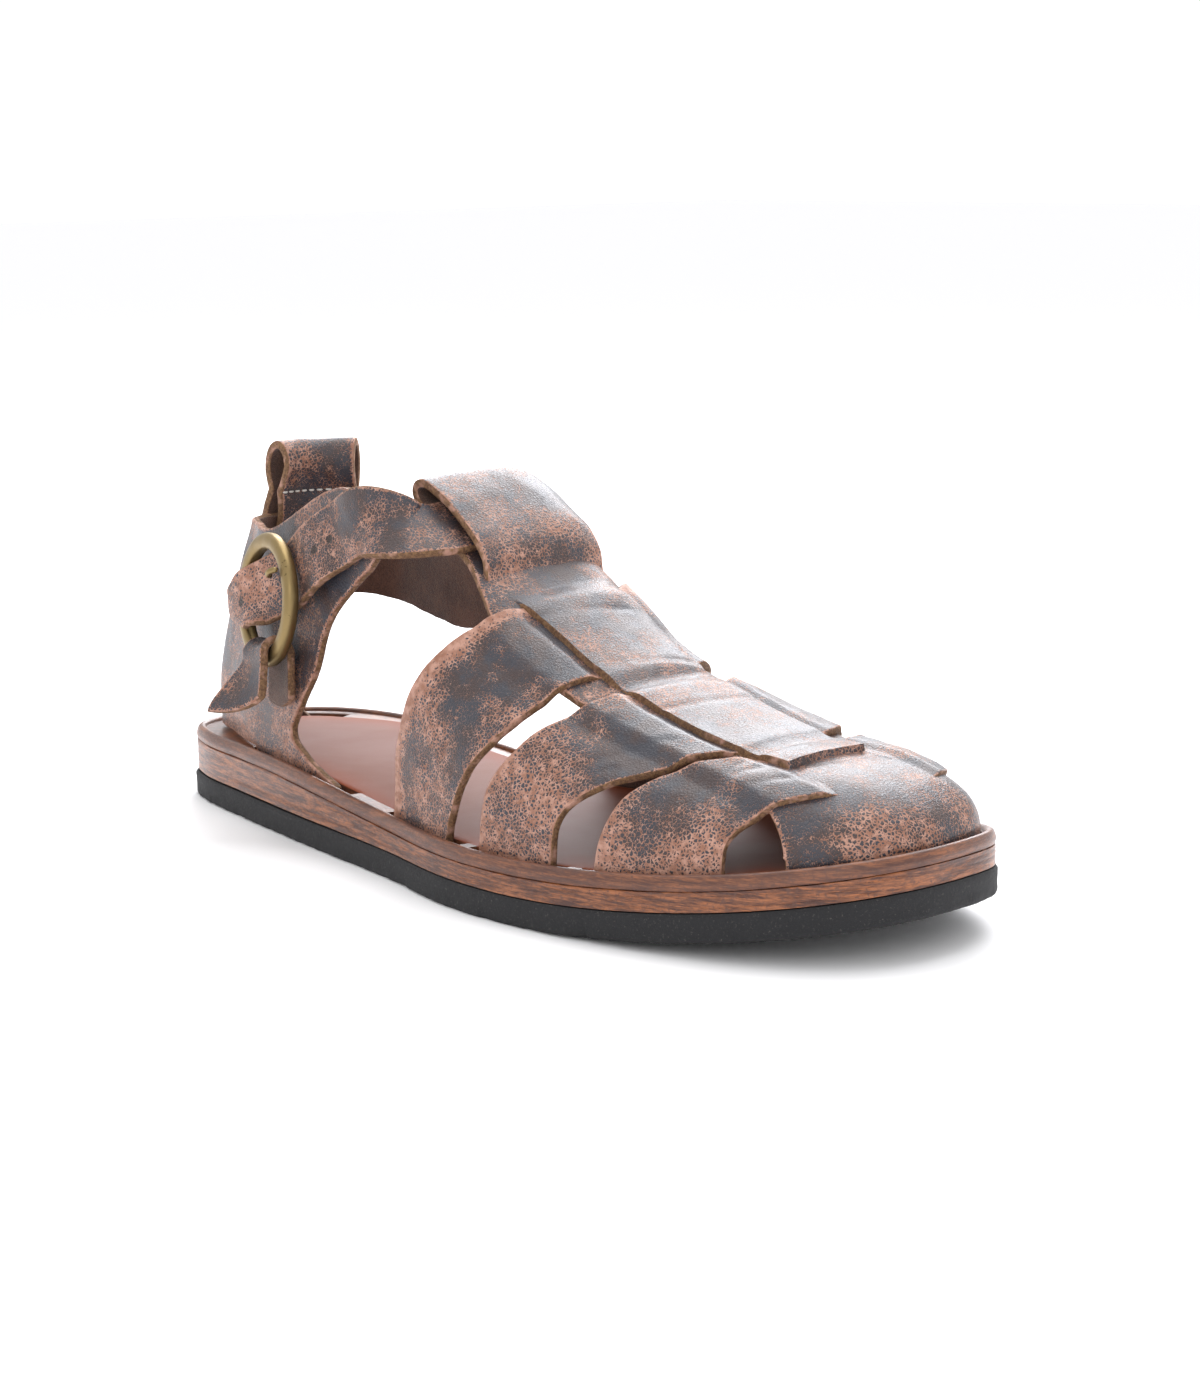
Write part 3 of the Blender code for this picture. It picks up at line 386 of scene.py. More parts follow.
KEEPER_LENGTH = 0.0150
KEEPER_SLANT = -0.18

FoldRow = namedtuple("FoldRow", "up lift")
PULL_FOLD = rows_of(FoldRow,
    (0.860, -0.50), (0.960, -0.48), (1.030, -0.10), (1.065, 0.15), (1.100, -0.30), (1.150, -0.70),
    (1.190, -0.35), (1.207, 0.50), (1.190, 1.35), (1.150, 1.70), (1.100, 1.30), (1.065, 0.80),
    (1.030, 1.00), (0.960, 1.30), (0.840, 1.40)
)
PULL_SHIFT = 0.095


def column(rows, name):
    return np.array([getattr(row, name) for row in rows], float)


def smooth(knots, values, at):
    """A smooth curve through a table's column, with slopes taken from the neighbouring rows."""
    slopes = np.gradient(values, knots)
    at = np.clip(at, knots[0], knots[-1])
    low = np.clip(np.searchsorted(knots, at, side="right") - 1, 0, len(knots) - 2)
    span = knots[low + 1] - knots[low]
    part = (at - knots[low]) / span
    rise = part * part * (3 - 2 * part)
    start = part * (1 - part) ** 2 * span
    end = part * part * (part - 1) * span
    blend = values[low] * (1 - rise) + values[low + 1] * rise
    return blend + start * slopes[low] + end * slopes[low + 1]


def table_value(rows, key, name, at):
    return smooth(column(rows, key), column(rows, name), at)


def sampled(rows, count, *names):
    """Smooth columns at evenly spaced places from a table's first row to its last, and those places."""
    knots = np.arange(len(rows), dtype=float)
    at = np.linspace(0, len(rows) - 1, count)
    return [at] + [smooth(knots, column(rows, name), at) for name in names]


def smooth_line(knots, points, at):
    return np.stack([smooth(knots, points[:, k], at) for k in range(3)], -1)


def reach_along(points):
    """How far along a line each of its points lies."""
    return np.concatenate([[0.0], np.cumsum(np.linalg.norm(np.diff(points, axis=0), axis=1))])


def unit(ways):
    return ways / np.linalg.norm(ways, axis=-1, keepdims=True)


def ramp(low, high, at):
    part = np.clip((np.asarray(at, float) - low) / (high - low), 0.0, 1.0)
    return part * part * (3 - 2 * part)


def even_turns(count):
    return np.linspace(0, FULL_TURN, count, endpoint=False)


def x_of(along):
    return (along - 0.5) * SHOE_LENGTH


def along_of(x):
    return x / SHOE_LENGTH + 0.5


@functools.lru_cache(maxsize=None)
def outline_frame():
    """The sole's outline at even turns, with the way inwards at each point."""
    sections = SOLE_SECTIONS
    turns = np.arccos(1 - 2 * column(sections, "along"))
    lateral = column(sections, "lateral")
    medial = column(sections, "medial")
    around = np.concatenate([turns, FULL_TURN - turns[-2::-1]])
    across = np.concatenate([lateral, medial[-2::-1]])
    before = around[-4:-1] - FULL_TURN
    after = around[1:4] + FULL_TURN
    knots = np.concatenate([before, around, after])
    wrapped = np.concatenate([across[-4:-1], across, across[1:4]])
    at = np.arange(OUTLINE_POINTS) * FULL_TURN / OUTLINE_POINTS
    x = -0.5 * SHOE_LENGTH * np.cos(at)
    ring = np.stack([x, BALL_WIDTH * smooth(knots, wrapped, at)], 1)
    tangent = unit(np.roll(ring, -1, 0) - np.roll(ring, 1, 0))
    inward = np.stack([-tangent[:, 1], tangent[:, 0]], 1)
    return at, ring, inward


@functools.lru_cache(maxsize=None)
def sole_ring(inset=0.0):
    """The sole's outline, lateral side from heel to toe and back along the medial side."""
    _, ring, inward = outline_frame()
    return ring + inset * inward


def on_outline(turns, inset):
    """Points on the outline at any turns, each set in by its own distance."""
    at, ring, inward = outline_frame()
    turns = np.mod(turns, FULL_TURN)
    points = [np.interp(turns, at, ring[:, k], period=FULL_TURN) for k in (0, 1)]
    ways = [np.interp(turns, at, inward[:, k], period=FULL_TURN) for k in (0, 1)]
    return np.stack(points, -1) + np.asarray(inset)[..., None] * np.stack(ways, -1)


def floor_rise(x):
    """How far the toe spring lifts the sole's underside."""
    reach = np.clip((along_of(np.asarray(x, float)) - SPRING_START) / (1 - SPRING_START), 0.0, None)
    return TOE_SPRING * reach**2


def stack_height(x):
    change = ramp(0.2, 0.52, along_of(x))
    return HEEL_STACK + (FOREFOOT_STACK - HEEL_STACK) * change


def outsole_top(x):
    return floor_rise(x) + OUTSOLE_THICKNESS


def midsole_top(x):
    return outsole_top(x) + CLEARANCE + stack_height(x)


def insole_base(x):
    return midsole_top(x) + CLEARANCE


def bed_height(x):
    return insole_base(x) + INSOLE_THICKNESS


def side_curve(side, inset):
    """One side of an inset outline, as along-sorted x and y."""
    ring = sole_ring(inset)
    half = OUTLINE_POINTS // 2
    part = ring[: half + 1] if side < 0 else np.vstack([ring[half:], ring[:1]])[::-1]
    order = np.argsort(part[:, 0])
    return part[order, 0], part[order, 1]


def side_y(side, x, inset):
    xs, ys = side_curve(side, inset)
    return np.interp(x, xs, ys)


def slot_spans():
    """Where each slot of the insole starts and ends on the sole's ring."""
    spans = [(leg.side, leg.rear, leg.front) for leg in COUNTER_LEGS]
    for rows in CROSS_STRAPS:
        spans.append((-1, rows[0].rear, rows[0].front))
        spans.append((1, rows[-1].rear, rows[-1].front))
    turns = []
    for side, rear, front in spans:
        start = turn_on_ring(side, rear) + side * SLOT_END_TURN
        end = turn_on_ring(side, front) - side * SLOT_END_TURN
        turns.append((start, end))
    toe_start = turn_on_ring(-1, TOE_PIECE_START) - SLOT_END_TURN
    toe_end = turn_on_ring(1, TOE_PIECE_START) + SLOT_END_TURN
    turns.append((toe_start, toe_end))
    return turns


def turn_on_ring(side, along):
    turn = np.arccos(1 - 2 * np.clip(along, 0.0, 1.0))
    return turn if side < 0 else FULL_TURN - turn


def last_sides(x):
    """The middle and half-breadth of the foot between its two slots."""
    inset = RIM_WIDTH + LEATHER
    lateral = side_y(-1, x, inset)
    medial = side_y(1, x, inset)
    return (lateral + medial) / 2, (medial - lateral) / 2


def toe_reach(angle):
    """How far the last reaches from the toe's centre along an angle from straight ahead."""
    ring = sole_ring(RIM_WIDTH + LEATHER)
    x_centre = x_of(TOE_CENTRE)
    middle, _ = last_sides(x_centre)
    angles = np.arctan2(ring[:, 1] - middle, ring[:, 0] - x_centre)
    radii = np.hypot(ring[:, 1] - middle, ring[:, 0] - x_centre)
    order = np.argsort(angles)
    return np.interp(angle, angles[order], radii[order], period=FULL_TURN)


def last_value(x, name):
    return table_value(LAST_SECTIONS, "along", name, along_of(np.asarray(x, float)))


def last_height(x, y):
    """The top of the foot at a place in plan: arched sections, closed by a dome over the toes."""
    x = np.asarray(x, float)
    y = np.asarray(y, float)
    x_centre = x_of(TOE_CENTRE)
    middle, half = last_sides(x)
    full = np.where(y < middle, last_value(x, "lateral_full"), last_value(x, "medial_full"))
    share = np.abs(y - middle) / half
    centre_middle, _ = last_sides(x_centre)
    angle = np.arctan2(y - centre_middle, x - x_centre)
    toe_share = np.hypot(y - centre_middle, x - x_centre) / toe_reach(angle)
    toe_full = TOE_FULLNESS + (full - TOE_FULLNESS) * np.sin(angle) ** 2
    over_toe = x > x_centre
    share = np.clip(np.where(over_toe, toe_share, share), 0.0, 1.0)
    full = np.where(over_toe, toe_full, full)
    crest = INSTEP_HEIGHT * last_value(np.minimum(x, x_centre), "height")
    bed = bed_height(x)
    lean = last_value(x, "lean") * (y - middle) * (1 - share**2)
    return bed + (crest - bed) * (1 - share**full) ** (1 / full) + lean


def on_last(x, y):
    return np.stack([x, y, last_height(x, y)], -1)


def last_point(x, turn):
    """A point on the foot, by its place along it and its turn over it."""
    x = np.asarray(x, float)
    turn = np.asarray(turn, float)
    middle, half = last_sides(x)
    side = np.cos(math.pi * turn)
    full = np.where(side > 0, last_value(x, "lateral_full"), last_value(x, "medial_full"))
    y = middle - half * np.sign(side) * np.abs(side) ** (2 / full)
    return on_last(x, y)


def grid_normals(grid):
    normals = np.cross(np.gradient(grid, axis=0), np.gradient(grid, axis=1))
    return normals / np.maximum(np.linalg.norm(normals, axis=2, keepdims=True), SMALLEST)


def heel_inset(turn):
    """The counter stands further in from the rim round the heel than at its lateral leg."""
    along = 0.5 * (1 - np.cos(turn))
    return HEEL_SET_IN * (1 - ramp(0.07, 0.17, along))


def wall_foot(turn):
    return on_outline(turn, RIM_WIDTH + LEATHER + heel_inset(turn))


def wall_point(turn, up):
    """The foot side of the heel counter, by its turn round the heel and its share of the height."""
    base = wall_foot(turn)
    inward = table_value(HEEL_LEAN, "up", "inward", up)
    forward = table_value(HEEL_LEAN, "up", "forward", up)
    back = 1 - ramp(0.0, 0.22, along_of(base[..., 0]))
    x = base[..., 0] + HEEL_FORWARD * forward * back
    y = base[..., 1] * (1 - inward)
    return np.stack([x, y, up * COUNTER_HEIGHT], -1)


def wall_top(side, along):
    """The counter's top edge, which rises into a lobe on the lateral side."""
    lobe = ramp(0.17, 0.34, along) if side < 0 else 0.0
    return BACK_HEIGHT + LOBE_RISE * lobe


def wall_base(side, along, x):
    """The counter's lower edge: just clear of the bed, and down in its slot at each leg."""
    free = bed_height(x) + 0.5 * LEATHER
    seated = insole_base(x) + CLEARANCE
    down = 0.0
    for leg in COUNTER_LEGS:
        if leg.side == side:
            down = max(down, float(leg.rear <= along <= leg.front))
    return free + (seated - free) * down


def surface_frame(surface, a, b, step):
    """A place on a surface and the way out of it."""
    over_a = surface(a + step, b) - surface(a - step, b)
    over_b = surface(a, b + step) - surface(a, b - step)
    return surface(a, b), unit(np.cross(over_a, over_b))


def station(framed, lift):
    place, out = framed
    return place + out * (lift * LEATHER + CLEARANCE), out


def wall_stations(rows, side):
    stations = []
    for row in rows:
        turn = float(turn_on_ring(-1, row.along)) * -side
        stations.append(station(surface_frame(wall_point, turn, row.up, WALL_STEP), row.lift))
    return stations


def instep_stations():
    stations = []
    for row in STRAP_INSTEP:
        framed = surface_frame(last_point, x_of(row.along), row.turn, LAST_STEP)
        stations.append(station(framed, row.lift))
    return stations


def buckle_stations():
    """The strap's way under the ring's front, up through the ring and over its back."""
    centre, normal, heel_ward, up = ring_frame()
    slope = math.radians(STRAP_SLOPE)
    ahead = heel_ward * math.cos(slope) - up * math.sin(slope)
    start = centre + up * STRAP_RAISE
    stations = []
    for row in STRAP_BUCKLE:
        stations.append((start + ahead * row.reach * RING_RADIUS + normal * row.height * LEATHER, normal))
    return stations


def strap_route():
    """The ankle strap's middle line on its foot side, with the way out of the leg at each point."""
    stations = wall_stations(STRAP_MEDIAL, 1) + instep_stations()
    stations += wall_stations(STRAP_LATERAL, -1) + buckle_stations()
    points = np.array([place for place, _ in stations])
    outs = np.array([out for _, out in stations])
    return points, outs


def ring_frame():
    """The buckle ring's middle and normal, with the ways to the heel and up in its own plane."""
    turn = float(turn_on_ring(-1, RING_ALONG))
    place, out = surface_frame(wall_point, turn, RING_UP, WALL_STEP)
    heel_ward = np.cross(out, (0.0, 0.0, 1.0))
    normal = out + heel_ward * RING_TIP
    normal /= np.linalg.norm(normal)
    heel_ward -= normal * np.dot(heel_ward, normal)
    heel_ward /= np.linalg.norm(heel_ward)
    up = np.cross(heel_ward, normal)
    return place + out * RING_LIFT * LEATHER, normal, heel_ward, up


def turn_at_back(y):
    """The turn round the heel at which the counter's foot has this y."""
    turns = np.linspace(0.6, -0.6, 61)
    return float(np.interp(y, wall_foot(turns)[:, 1], turns))


def uneven(points, kind, extra_seed=0):
    """A named unevenness at each of many points, in metres."""
    return kind.depth * ripple(points, kind.size, kind.seed + extra_seed)


def ripple(points, size, seed):
    """A slow unevenness, about -1 to 1, that changes over about the given size."""
    random = np.random.default_rng(seed)
    total = np.zeros(points.shape[:-1])
    for finer in (1, 2, 4):
        for _ in range(4):
            way = random.normal(size=3)
            way *= FULL_TURN * finer / (size * np.linalg.norm(way))
            total += np.sin(points @ way + random.uniform(0, FULL_TURN)) / (3 * finer)
    return total


def edge_shares(width, count):
    """Shares from 0 to 1 across a piece, close together at both of its edges."""
    near = np.array(EDGE_OFFSETS) / width
    middle = np.linspace(near[-1], 1 - near[-1], count)
    return np.concatenate([near[:-1], middle, 1 - near[-2::-1]])


def add_piece(name, points, faces, indices, looks, node, slot, sharp_degrees=35, **values):
    """A closed mesh with its materials and per-point values, riding the root in place of its node."""
    mesh = bpy.data.meshes.new(name)
    mesh.from_pydata([tuple(point) for point in np.asarray(points, float).tolist()], [], faces)
    for look in looks:
        mesh.materials.append(look)
    mesh.polygons.foreach_set("material_index", np.asarray(indices, np.int32))
    for key, value in values.items():
        kept = mesh.attributes.new(key, "FLOAT", "POINT")
        kept.data.foreach_set("value", np.asarray(value, np.float32))
    work = bmesh.new()
    work.from_mesh(mesh)
    bmesh.ops.remove_doubles(work, verts=work.verts, dist=1e-7)
    bmesh.ops.recalc_face_normals(work, faces=work.faces)
    work.to_mesh(mesh)
    work.free()
    mesh.shade_smooth()
    mesh.set_sharp_from_angle(angle=math.radians(sharp_degrees))
    mesh.update()
    piece = bpy.data.objects.new(name, mesh)
    bpy.context.scene.collection.objects.link(piece)
    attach(piece, "root")
    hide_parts(node)
    return piece


def walked(grid, axis):
    """How far each point of a grid lies from the two ends of its row or column."""
    steps = np.linalg.norm(np.diff(grid, axis=axis), axis=2)
    zero = np.zeros_like(np.take(steps, [0], axis=axis))
    reach = np.cumsum(np.concatenate([zero, steps], axis), axis)
    total = np.take(reach, [-1], axis=axis)
    return reach, total - reach


def rounding(distance, radius):
    """How much a rounded edge falls away at a distance from it."""
    part = np.clip(distance / radius, 0.0, 1.0)
    return radius * (1 - np.sqrt(1 - (1 - part) ** 2))


def border_loop(rows, columns):
    loop = [(0, j) for j in range(columns)]
    loop += [(i, columns - 1) for i in range(1, rows)]
    loop += [(rows - 1, j) for j in range(columns - 2, -1, -1)]
    loop += [(i, 0) for i in range(rows - 2, 0, -1)]
    return loop


def leather_piece(name, grid, outside, looks, node, start_free=True, end_free=True,
                  relief=0.0, worn=0.0, normals=None):
    """A strap from its grid of foot-side points: a grain side, a flesh side and a cut edge round them."""
    rows, columns = grid.shape[:2]
    if normals is None:
        normals = outside * grid_normals(grid)
    left, right = walked(grid, 1)
    start, end = walked(grid, 0)
    edge = np.minimum(left, right)
    for free, distance in ((start_free, start), (end_free, end)):
        if free:
            edge = np.minimum(edge, distance)
    lift = np.broadcast_to(relief, (rows, columns))
    top = lift + LEATHER - rounding(edge, TOP_ROUND)
    outer = grid + normals * top[..., None]
    inner = grid + normals * (lift + rounding(edge, FLESH_ROUND))[..., None]
    loop = border_loop(rows, columns)
    edge_points = []
    for i, j in loop:
        inside = (min(max(i, 1), rows - 2), min(max(j, 1), columns - 2))
        away = grid[i, j] - grid[inside]
        away = away / max(np.linalg.norm(away), SMALLEST)
        edge_points.append((outer[i, j] + inner[i, j]) / 2 + away * EDGE_BULGE)
    count = rows * columns
    points = np.concatenate([outer.reshape(-1, 3), inner.reshape(-1, 3), np.array(edge_points)])
    corner = np.arange(count).reshape(rows, columns)
    quads = np.stack([corner[:-1, :-1], corner[1:, :-1], corner[1:, 1:], corner[:-1, 1:]], -1)
    quads = quads.reshape(-1, 4)
    cut = cut_faces(grid, lift, edge)
    faces = quads.tolist() + (quads[:, ::-1] + count).tolist()
    indices = np.where(cut, 1, 0).tolist() + np.where(cut, 1, 2).tolist()
    flat = [i * columns + j for i, j in loop]
    around = len(loop)
    for k in range(around):
        m = (k + 1) % around
        faces.append([flat[k], flat[m], 2 * count + m, 2 * count + k])
        faces.append([2 * count + k, 2 * count + m, flat[m] + count, flat[k] + count])
    indices += [1] * (2 * around)
    edge_value = np.concatenate([edge.reshape(-1), edge.reshape(-1), np.zeros(around)]) * MILLIMETRES
    worn_value = np.broadcast_to(worn, (rows, columns)).reshape(-1)
    worn_value = np.concatenate([worn_value, worn_value, np.zeros(around)])
    return add_piece(name, points, faces, indices, looks, node, "crackled_leather",
                     edge=edge_value, worn=worn_value)


def cut_faces(grid, lift, edge):
    """Which faces of a strap's grid belong to its cut edge or to the wall of a slit."""
    widths = np.linalg.norm(np.diff(grid, axis=1), axis=2)
    steep = np.abs(np.diff(lift, axis=1)) > CUT_STEEPNESS * widths
    corners = (edge[:-1, :-1], edge[1:, :-1], edge[1:, 1:], edge[:-1, 1:])
    near = np.max(np.stack(corners), axis=0) < EDGE_OFFSETS[2] * 1.05
    return (near | steep[:-1]).reshape(-1)


def creased(grid, creases):
    """Soft troughs pressed into a grid along straight lines between named places."""
    lift = np.zeros(grid.shape[:2])
    for crease in creases:
        start = np.array(crease.start)
        line = np.array(crease.end) - start
        share = np.clip(((grid - start) @ line) / (line @ line), 0.0, 1.0)
        off = np.linalg.norm(grid - start - share[..., None] * line, axis=2)
        lift -= crease.depth * np.exp(-((off / crease.width) ** 2))
    return lift


def sole_turns():
    """Turns round the outline, even but for a close pair at each slot's ends."""
    ends = [turn for span in slot_spans() for turn in span]
    ends = np.concatenate([np.array(ends) - SLOT_STEP, np.array(ends) + SLOT_STEP])
    even = even_turns(SOLE_STEPS)
    turns = np.mod(np.concatenate([even, ends, -ends, [0.0, math.pi]]), FULL_TURN)
    turns = np.concatenate([turns, np.mod(FULL_TURN - turns, FULL_TURN)])
    return np.unique(np.round(turns, 6))


def axis_line(turns):
    """The line down the middle of the sole on which its two faces close."""
    x = -0.5 * SHOE_LENGTH * np.cos(turns) * AXIS_SHARE
    lateral = side_y(-1, x, 0.0)
    medial = side_y(1, x, 0.0)
    return np.stack([x, (lateral + medial) / 2], -1)


def closing_rings(turns, ring, height_of, shares, raised=0.0):
    """Rings from a border in to the middle line, at a height that follows the sole."""
    middle = axis_line(turns)
    rings = []
    for share in shares:
        place = ring[:, :2] + (middle - ring[:, :2]) * share
        rings.append(np.column_stack([place, height_of(place[:, 0]) + raised]))
    return rings


def outline_ring(turns, inset, height_of, raised=0.0):
    """A ring of points set in from the outline, at a height that follows the sole."""
    place = on_outline(turns, inset)
    return np.column_stack([place, height_of(place[:, 0]) + raised])


def outline_spots(turns):
    """The outline's points on the floor, where an unevenness is read."""
    return np.column_stack([on_outline(turns, 0.0), np.zeros(len(turns))])


def ringed_piece(name, rings, bands, looks, node, slot, **values):
    """A closed piece from rings with one material for each band between two rings."""
    count = len(rings[0])
    points = np.concatenate(rings)
    corner = np.arange(count)
    after = np.roll(corner, -1)
    faces = []
    indices = []
    for level in range(len(rings) - 1):
        low = level * count
        high = low + count
        band = np.stack([low + corner, low + after, high + after, high + corner], 1)
        faces += band.tolist()
        indices += [bands[level]] * count
    return add_piece(name, points, faces, indices, looks, node, slot, 50, **values)


def make_outsole(looks):
    turns = sole_turns()
    spots = outline_spots(turns)
    ragged = np.maximum(ripple(spots, SOLE_RAGGED.size, SOLE_RAGGED.seed), RAGGED_LOWEST)
    ragged = SOLE_RAGGED.depth * ragged
    for along in NOTCHES:
        notch = float(turn_on_ring(-1, along))
        ragged = ragged + NOTCH_DEPTH * np.exp(-(((turns - notch) / NOTCH_TURN) ** 2))
    low = outline_ring(turns, 0.0012 + ragged, floor_rise)
    rings = closing_rings(turns, low, floor_rise, TO_THE_MIDDLE[::-1])
    for height, inset in OUTSOLE_PROFILE:
        share = np.clip(1 - height / RAGGED_HEIGHT, 0.0, 1.0)
        inset = inset + ragged * share + uneven(spots, OUTSOLE_UNEVEN, int(height * 1e4))
        rings.append(outline_ring(turns, inset, floor_rise, height))
    rings.append(outline_ring(turns, 0.0005, outsole_top))
    rings += closing_rings(turns, rings[-1], outsole_top, TO_THE_MIDDLE)
    return ringed_piece("rubber_outsole", rings, [0] * len(rings), looks, "outsole", "rubber")


def make_midsole(looks):
    turns = sole_turns()
    spots = outline_spots(turns)
    low = outline_ring(turns, MIDSOLE_STEP + 0.0004, outsole_top)
    rings = closing_rings(turns, low, outsole_top, TO_THE_MIDDLE[::-1])
    for share in STACK_SHARES:
        groove = GROOVE_DEPTH * (share in GROOVED_SHARES)
        rough = uneven(spots + [0, 0, share], STACK_UNEVEN)
        place = on_outline(turns, MIDSOLE_STEP - 0.0001 + groove + rough)
        height = outsole_top(place[:, 0]) + share * (stack_height(place[:, 0]) + 2 * CLEARANCE)
        rings.append(np.column_stack([place, height]))
    high = outline_ring(turns, MIDSOLE_STEP + 0.0003, insole_base)
    rings.append(high)
    rings += closing_rings(turns, high, insole_base, TO_THE_MIDDLE, -0.0001)
    return ringed_piece("stacked_midsole", rings, [0] * len(rings), looks, "midsole", "stacked_leather")


def in_slot(turns):
    """1 at the turns that lie in a slot of the insole, else 0."""
    found = np.zeros(len(turns))
    for span in slot_spans():
        low, high = min(span), max(span)
        if low < 0 or high > FULL_TURN:
            found = np.maximum(found, (turns > np.mod(low, FULL_TURN)) | (turns < high - FULL_TURN))
        else:
            found = np.maximum(found, (turns > low) & (turns < high))
    return found.astype(float)


def make_insole(looks):
    """The footbed: a rounded lip, a dark groove at each slot, and a smooth bed."""
    turns = sole_turns()
    slotted = in_slot(turns)
    _, insets, heights = sampled(LIP_ROWS, 4 * len(LIP_ROWS) - 3, "inset", "height")
    low = outline_ring(turns, MIDSOLE_STEP + 0.0002, insole_base)
    rings = closing_rings(turns, low, insole_base, TO_THE_MIDDLE[::-1])
    rough = uneven(outline_spots(turns), LIP_UNEVEN)
    for inset, height in zip(insets, heights):
        rings.append(outline_ring(turns, inset + rough, bed_height, height + 0.5 * rough))
    outer = RIM_WIDTH - SLOT_PLAY + heel_inset(turns)
    inner = RIM_WIDTH + LEATHER + SLOT_PLAY + heel_inset(turns)
    groove = (
        (outer - 0.0002, 0.0), (outer, 0.0002), (outer + 0.0001, INSOLE_THICKNESS),
        (inner - 0.0001, INSOLE_THICKNESS), (inner, 0.0002), (inner + 0.0003, 0.0),
    )
    for inset, depth in groove:
        rings.append(outline_ring(turns, inset, bed_height, -depth * slotted))
    bed_start = len(rings) - 1
    rings += closing_rings(turns, rings[-1], bed_height, BED_SHARES)
    bands = [1] * (bed_start - 1) + [0] * (len(rings) - bed_start + 1)
    # The share of the way from the slot grooves into the middle of the bed, which the footbed's painted rim
    # shade reads.
    from_rim = [max(0.0, (k - bed_start) / (len(rings) - 1 - bed_start)) for k in range(len(rings))]
    rim = np.repeat(from_rim, len(turns))
    return ringed_piece("slotted_insole", rings, bands, looks, "insole", "insole_leather", rim=rim)


def strip_lift(alongs, across):
    """How far the centre strip stands off the foot: up over each cross strap between its two slits."""
    lateral = table_value(STRIP_ROWS, "along", "lateral_slit", alongs)
    medial = table_value(STRIP_ROWS, "along", "medial_slit", alongs)
    between = ramp(lateral - SLIT_SHARP, lateral + SLIT_SHARP, across)
    between = between * (1 - ramp(medial - SLIT_SHARP, medial + SLIT_SHARP, across))
    over = 0.0
    for rows in CROSS_STRAPS:
        middle = rows[len(rows) // 2]
        rise = ramp(middle.rear - BRIDGE_APPROACH, middle.rear + BRIDGE_OVERLAP, alongs)
        fall = ramp(middle.front - BRIDGE_OVERLAP, middle.front + BRIDGE_APPROACH, alongs)
        over = over + rise * (1 - fall)
    return WOVEN_LIFT * between * over


def dive(outside):
    """How a strap sinks on its way into a slit, by its distance outside the slit's line."""
    return DIVE_KEPT * ramp(-DIVE / 2, 0.0, outside) + (1 - DIVE_KEPT) * ramp(0.002, DIVE, outside)


def strip_shares(row):
    """Shares across the strip, close together at its edges and at its two slits."""
    width = (row["medial"] - row["lateral"]) * BALL_WIDTH
    near = np.array(EDGE_OFFSETS) / width
    aside = 1.5 * SLIT_SHARP * BALL_WIDTH / width
    spans = [near[-1]]
    for key in ("lateral_slit", "medial_slit"):
        slit = (row[key] - row["lateral"]) * BALL_WIDTH / width
        spans += [slit - aside, slit + aside]
    spans.append(1 - near[-1])
    parts = [near[:-1]]
    for k, count in enumerate((9, 5, 25, 5, 9)):
        parts.append(np.linspace(spans[k], spans[k + 1], count, endpoint=False))
    parts.append(1 - near[::-1])
    return np.concatenate(parts)


def strip_row(alongs):
    return {name: table_value(STRIP_ROWS, "along", name, alongs) for name in StripRow._fields[1:]}


def lowered(row, foot, parts):
    """Copies of a row of points, each brought down by its part of the way to the foot's height."""
    copies = []
    for part in parts:
        copy = row.copy()
        copy[:, 2] = row[:, 2] + (foot - row[:, 2]) * part
        copies.append(copy)
    return copies


def with_ends(values, first, last):
    """Rows of values, with three more of the first before them and three more of the last after."""
    return np.concatenate([np.repeat(first[None], 3, 0), values, np.repeat(last[None], 3, 0)])


def toe_edge(share):
    """Where the toe piece meets its slot, by the share across it from the lateral side."""
    angle = np.radians(TOE_PIECE_ANGLE) * (2 * share - 1)
    middle, _ = last_sides(x_of(TOE_CENTRE))
    reach = toe_reach(angle)
    return x_of(TOE_CENTRE) + reach * np.cos(angle), middle + reach * np.sin(angle)


def make_strip(looks):
    """The centre strip, slit where it bridges the cross straps, spreading into the toe piece."""
    rows = []
    lifts = []
    normals = []
    for along in np.linspace(STRIP_START, TOE_FAN_START, 230):
        row = strip_row(np.array(along))
        shares = strip_shares(row)
        across = row["lateral"] + (row["medial"] - row["lateral"]) * shares
        wander = uneven(np.array([[along * SHOE_LENGTH, 0.0, 0.0]]), STRIP_WANDER)[0]
        x = np.full(len(shares), x_of(along))
        y = across * BALL_WIDTH + wander * (1 - shares) * 0.5
        rows.append(on_last(x, y))
        lifts.append(strip_lift(np.full(len(shares), along), across))
        normals.append(last_normals(x, y))
    start = rows[-1][:, :2]
    shares = np.clip((start[:, 1] - start[0, 1]) / (start[-1, 1] - start[0, 1]), 0.0, 1.0)
    end = np.stack(toe_edge(shares), -1)
    for part in np.linspace(0.0, 1.0, 75)[1:]:
        place = start + (end - start) * np.sin(part * math.pi / 2)
        x, y = place[:, 0], place[:, 1]
        rows.append(on_last(x, y))
        lifts.append(np.full(len(shares), TOE_LIFT * ramp(0.0, 0.3, part) * (1 - part**3)))
        normals.append(last_normals(x, y))
    foot = insole_base(rows[-1][:, 0] + LEATHER) + CLEARANCE
    rows += lowered(rows[-1], foot, FOOT_ROWS)
    lifts += [np.zeros(len(shares))] * len(FOOT_ROWS)
    normals += [normals[-1]] * len(FOOT_ROWS)
    grid = np.array(rows)
    worn = STRIP_WORN + TOE_WORN * ramp(x_of(0.86), x_of(0.95), grid[..., 0])
    relief = np.array(lifts) + uneven(grid, STRIP_UNEVEN) + creased(grid, crease_places(STRIP_CREASES))
    return leather_piece("vamp_strip", grid, 1, looks, "vamp", end_free=False, relief=relief, worn=worn,
                         normals=np.array(normals))


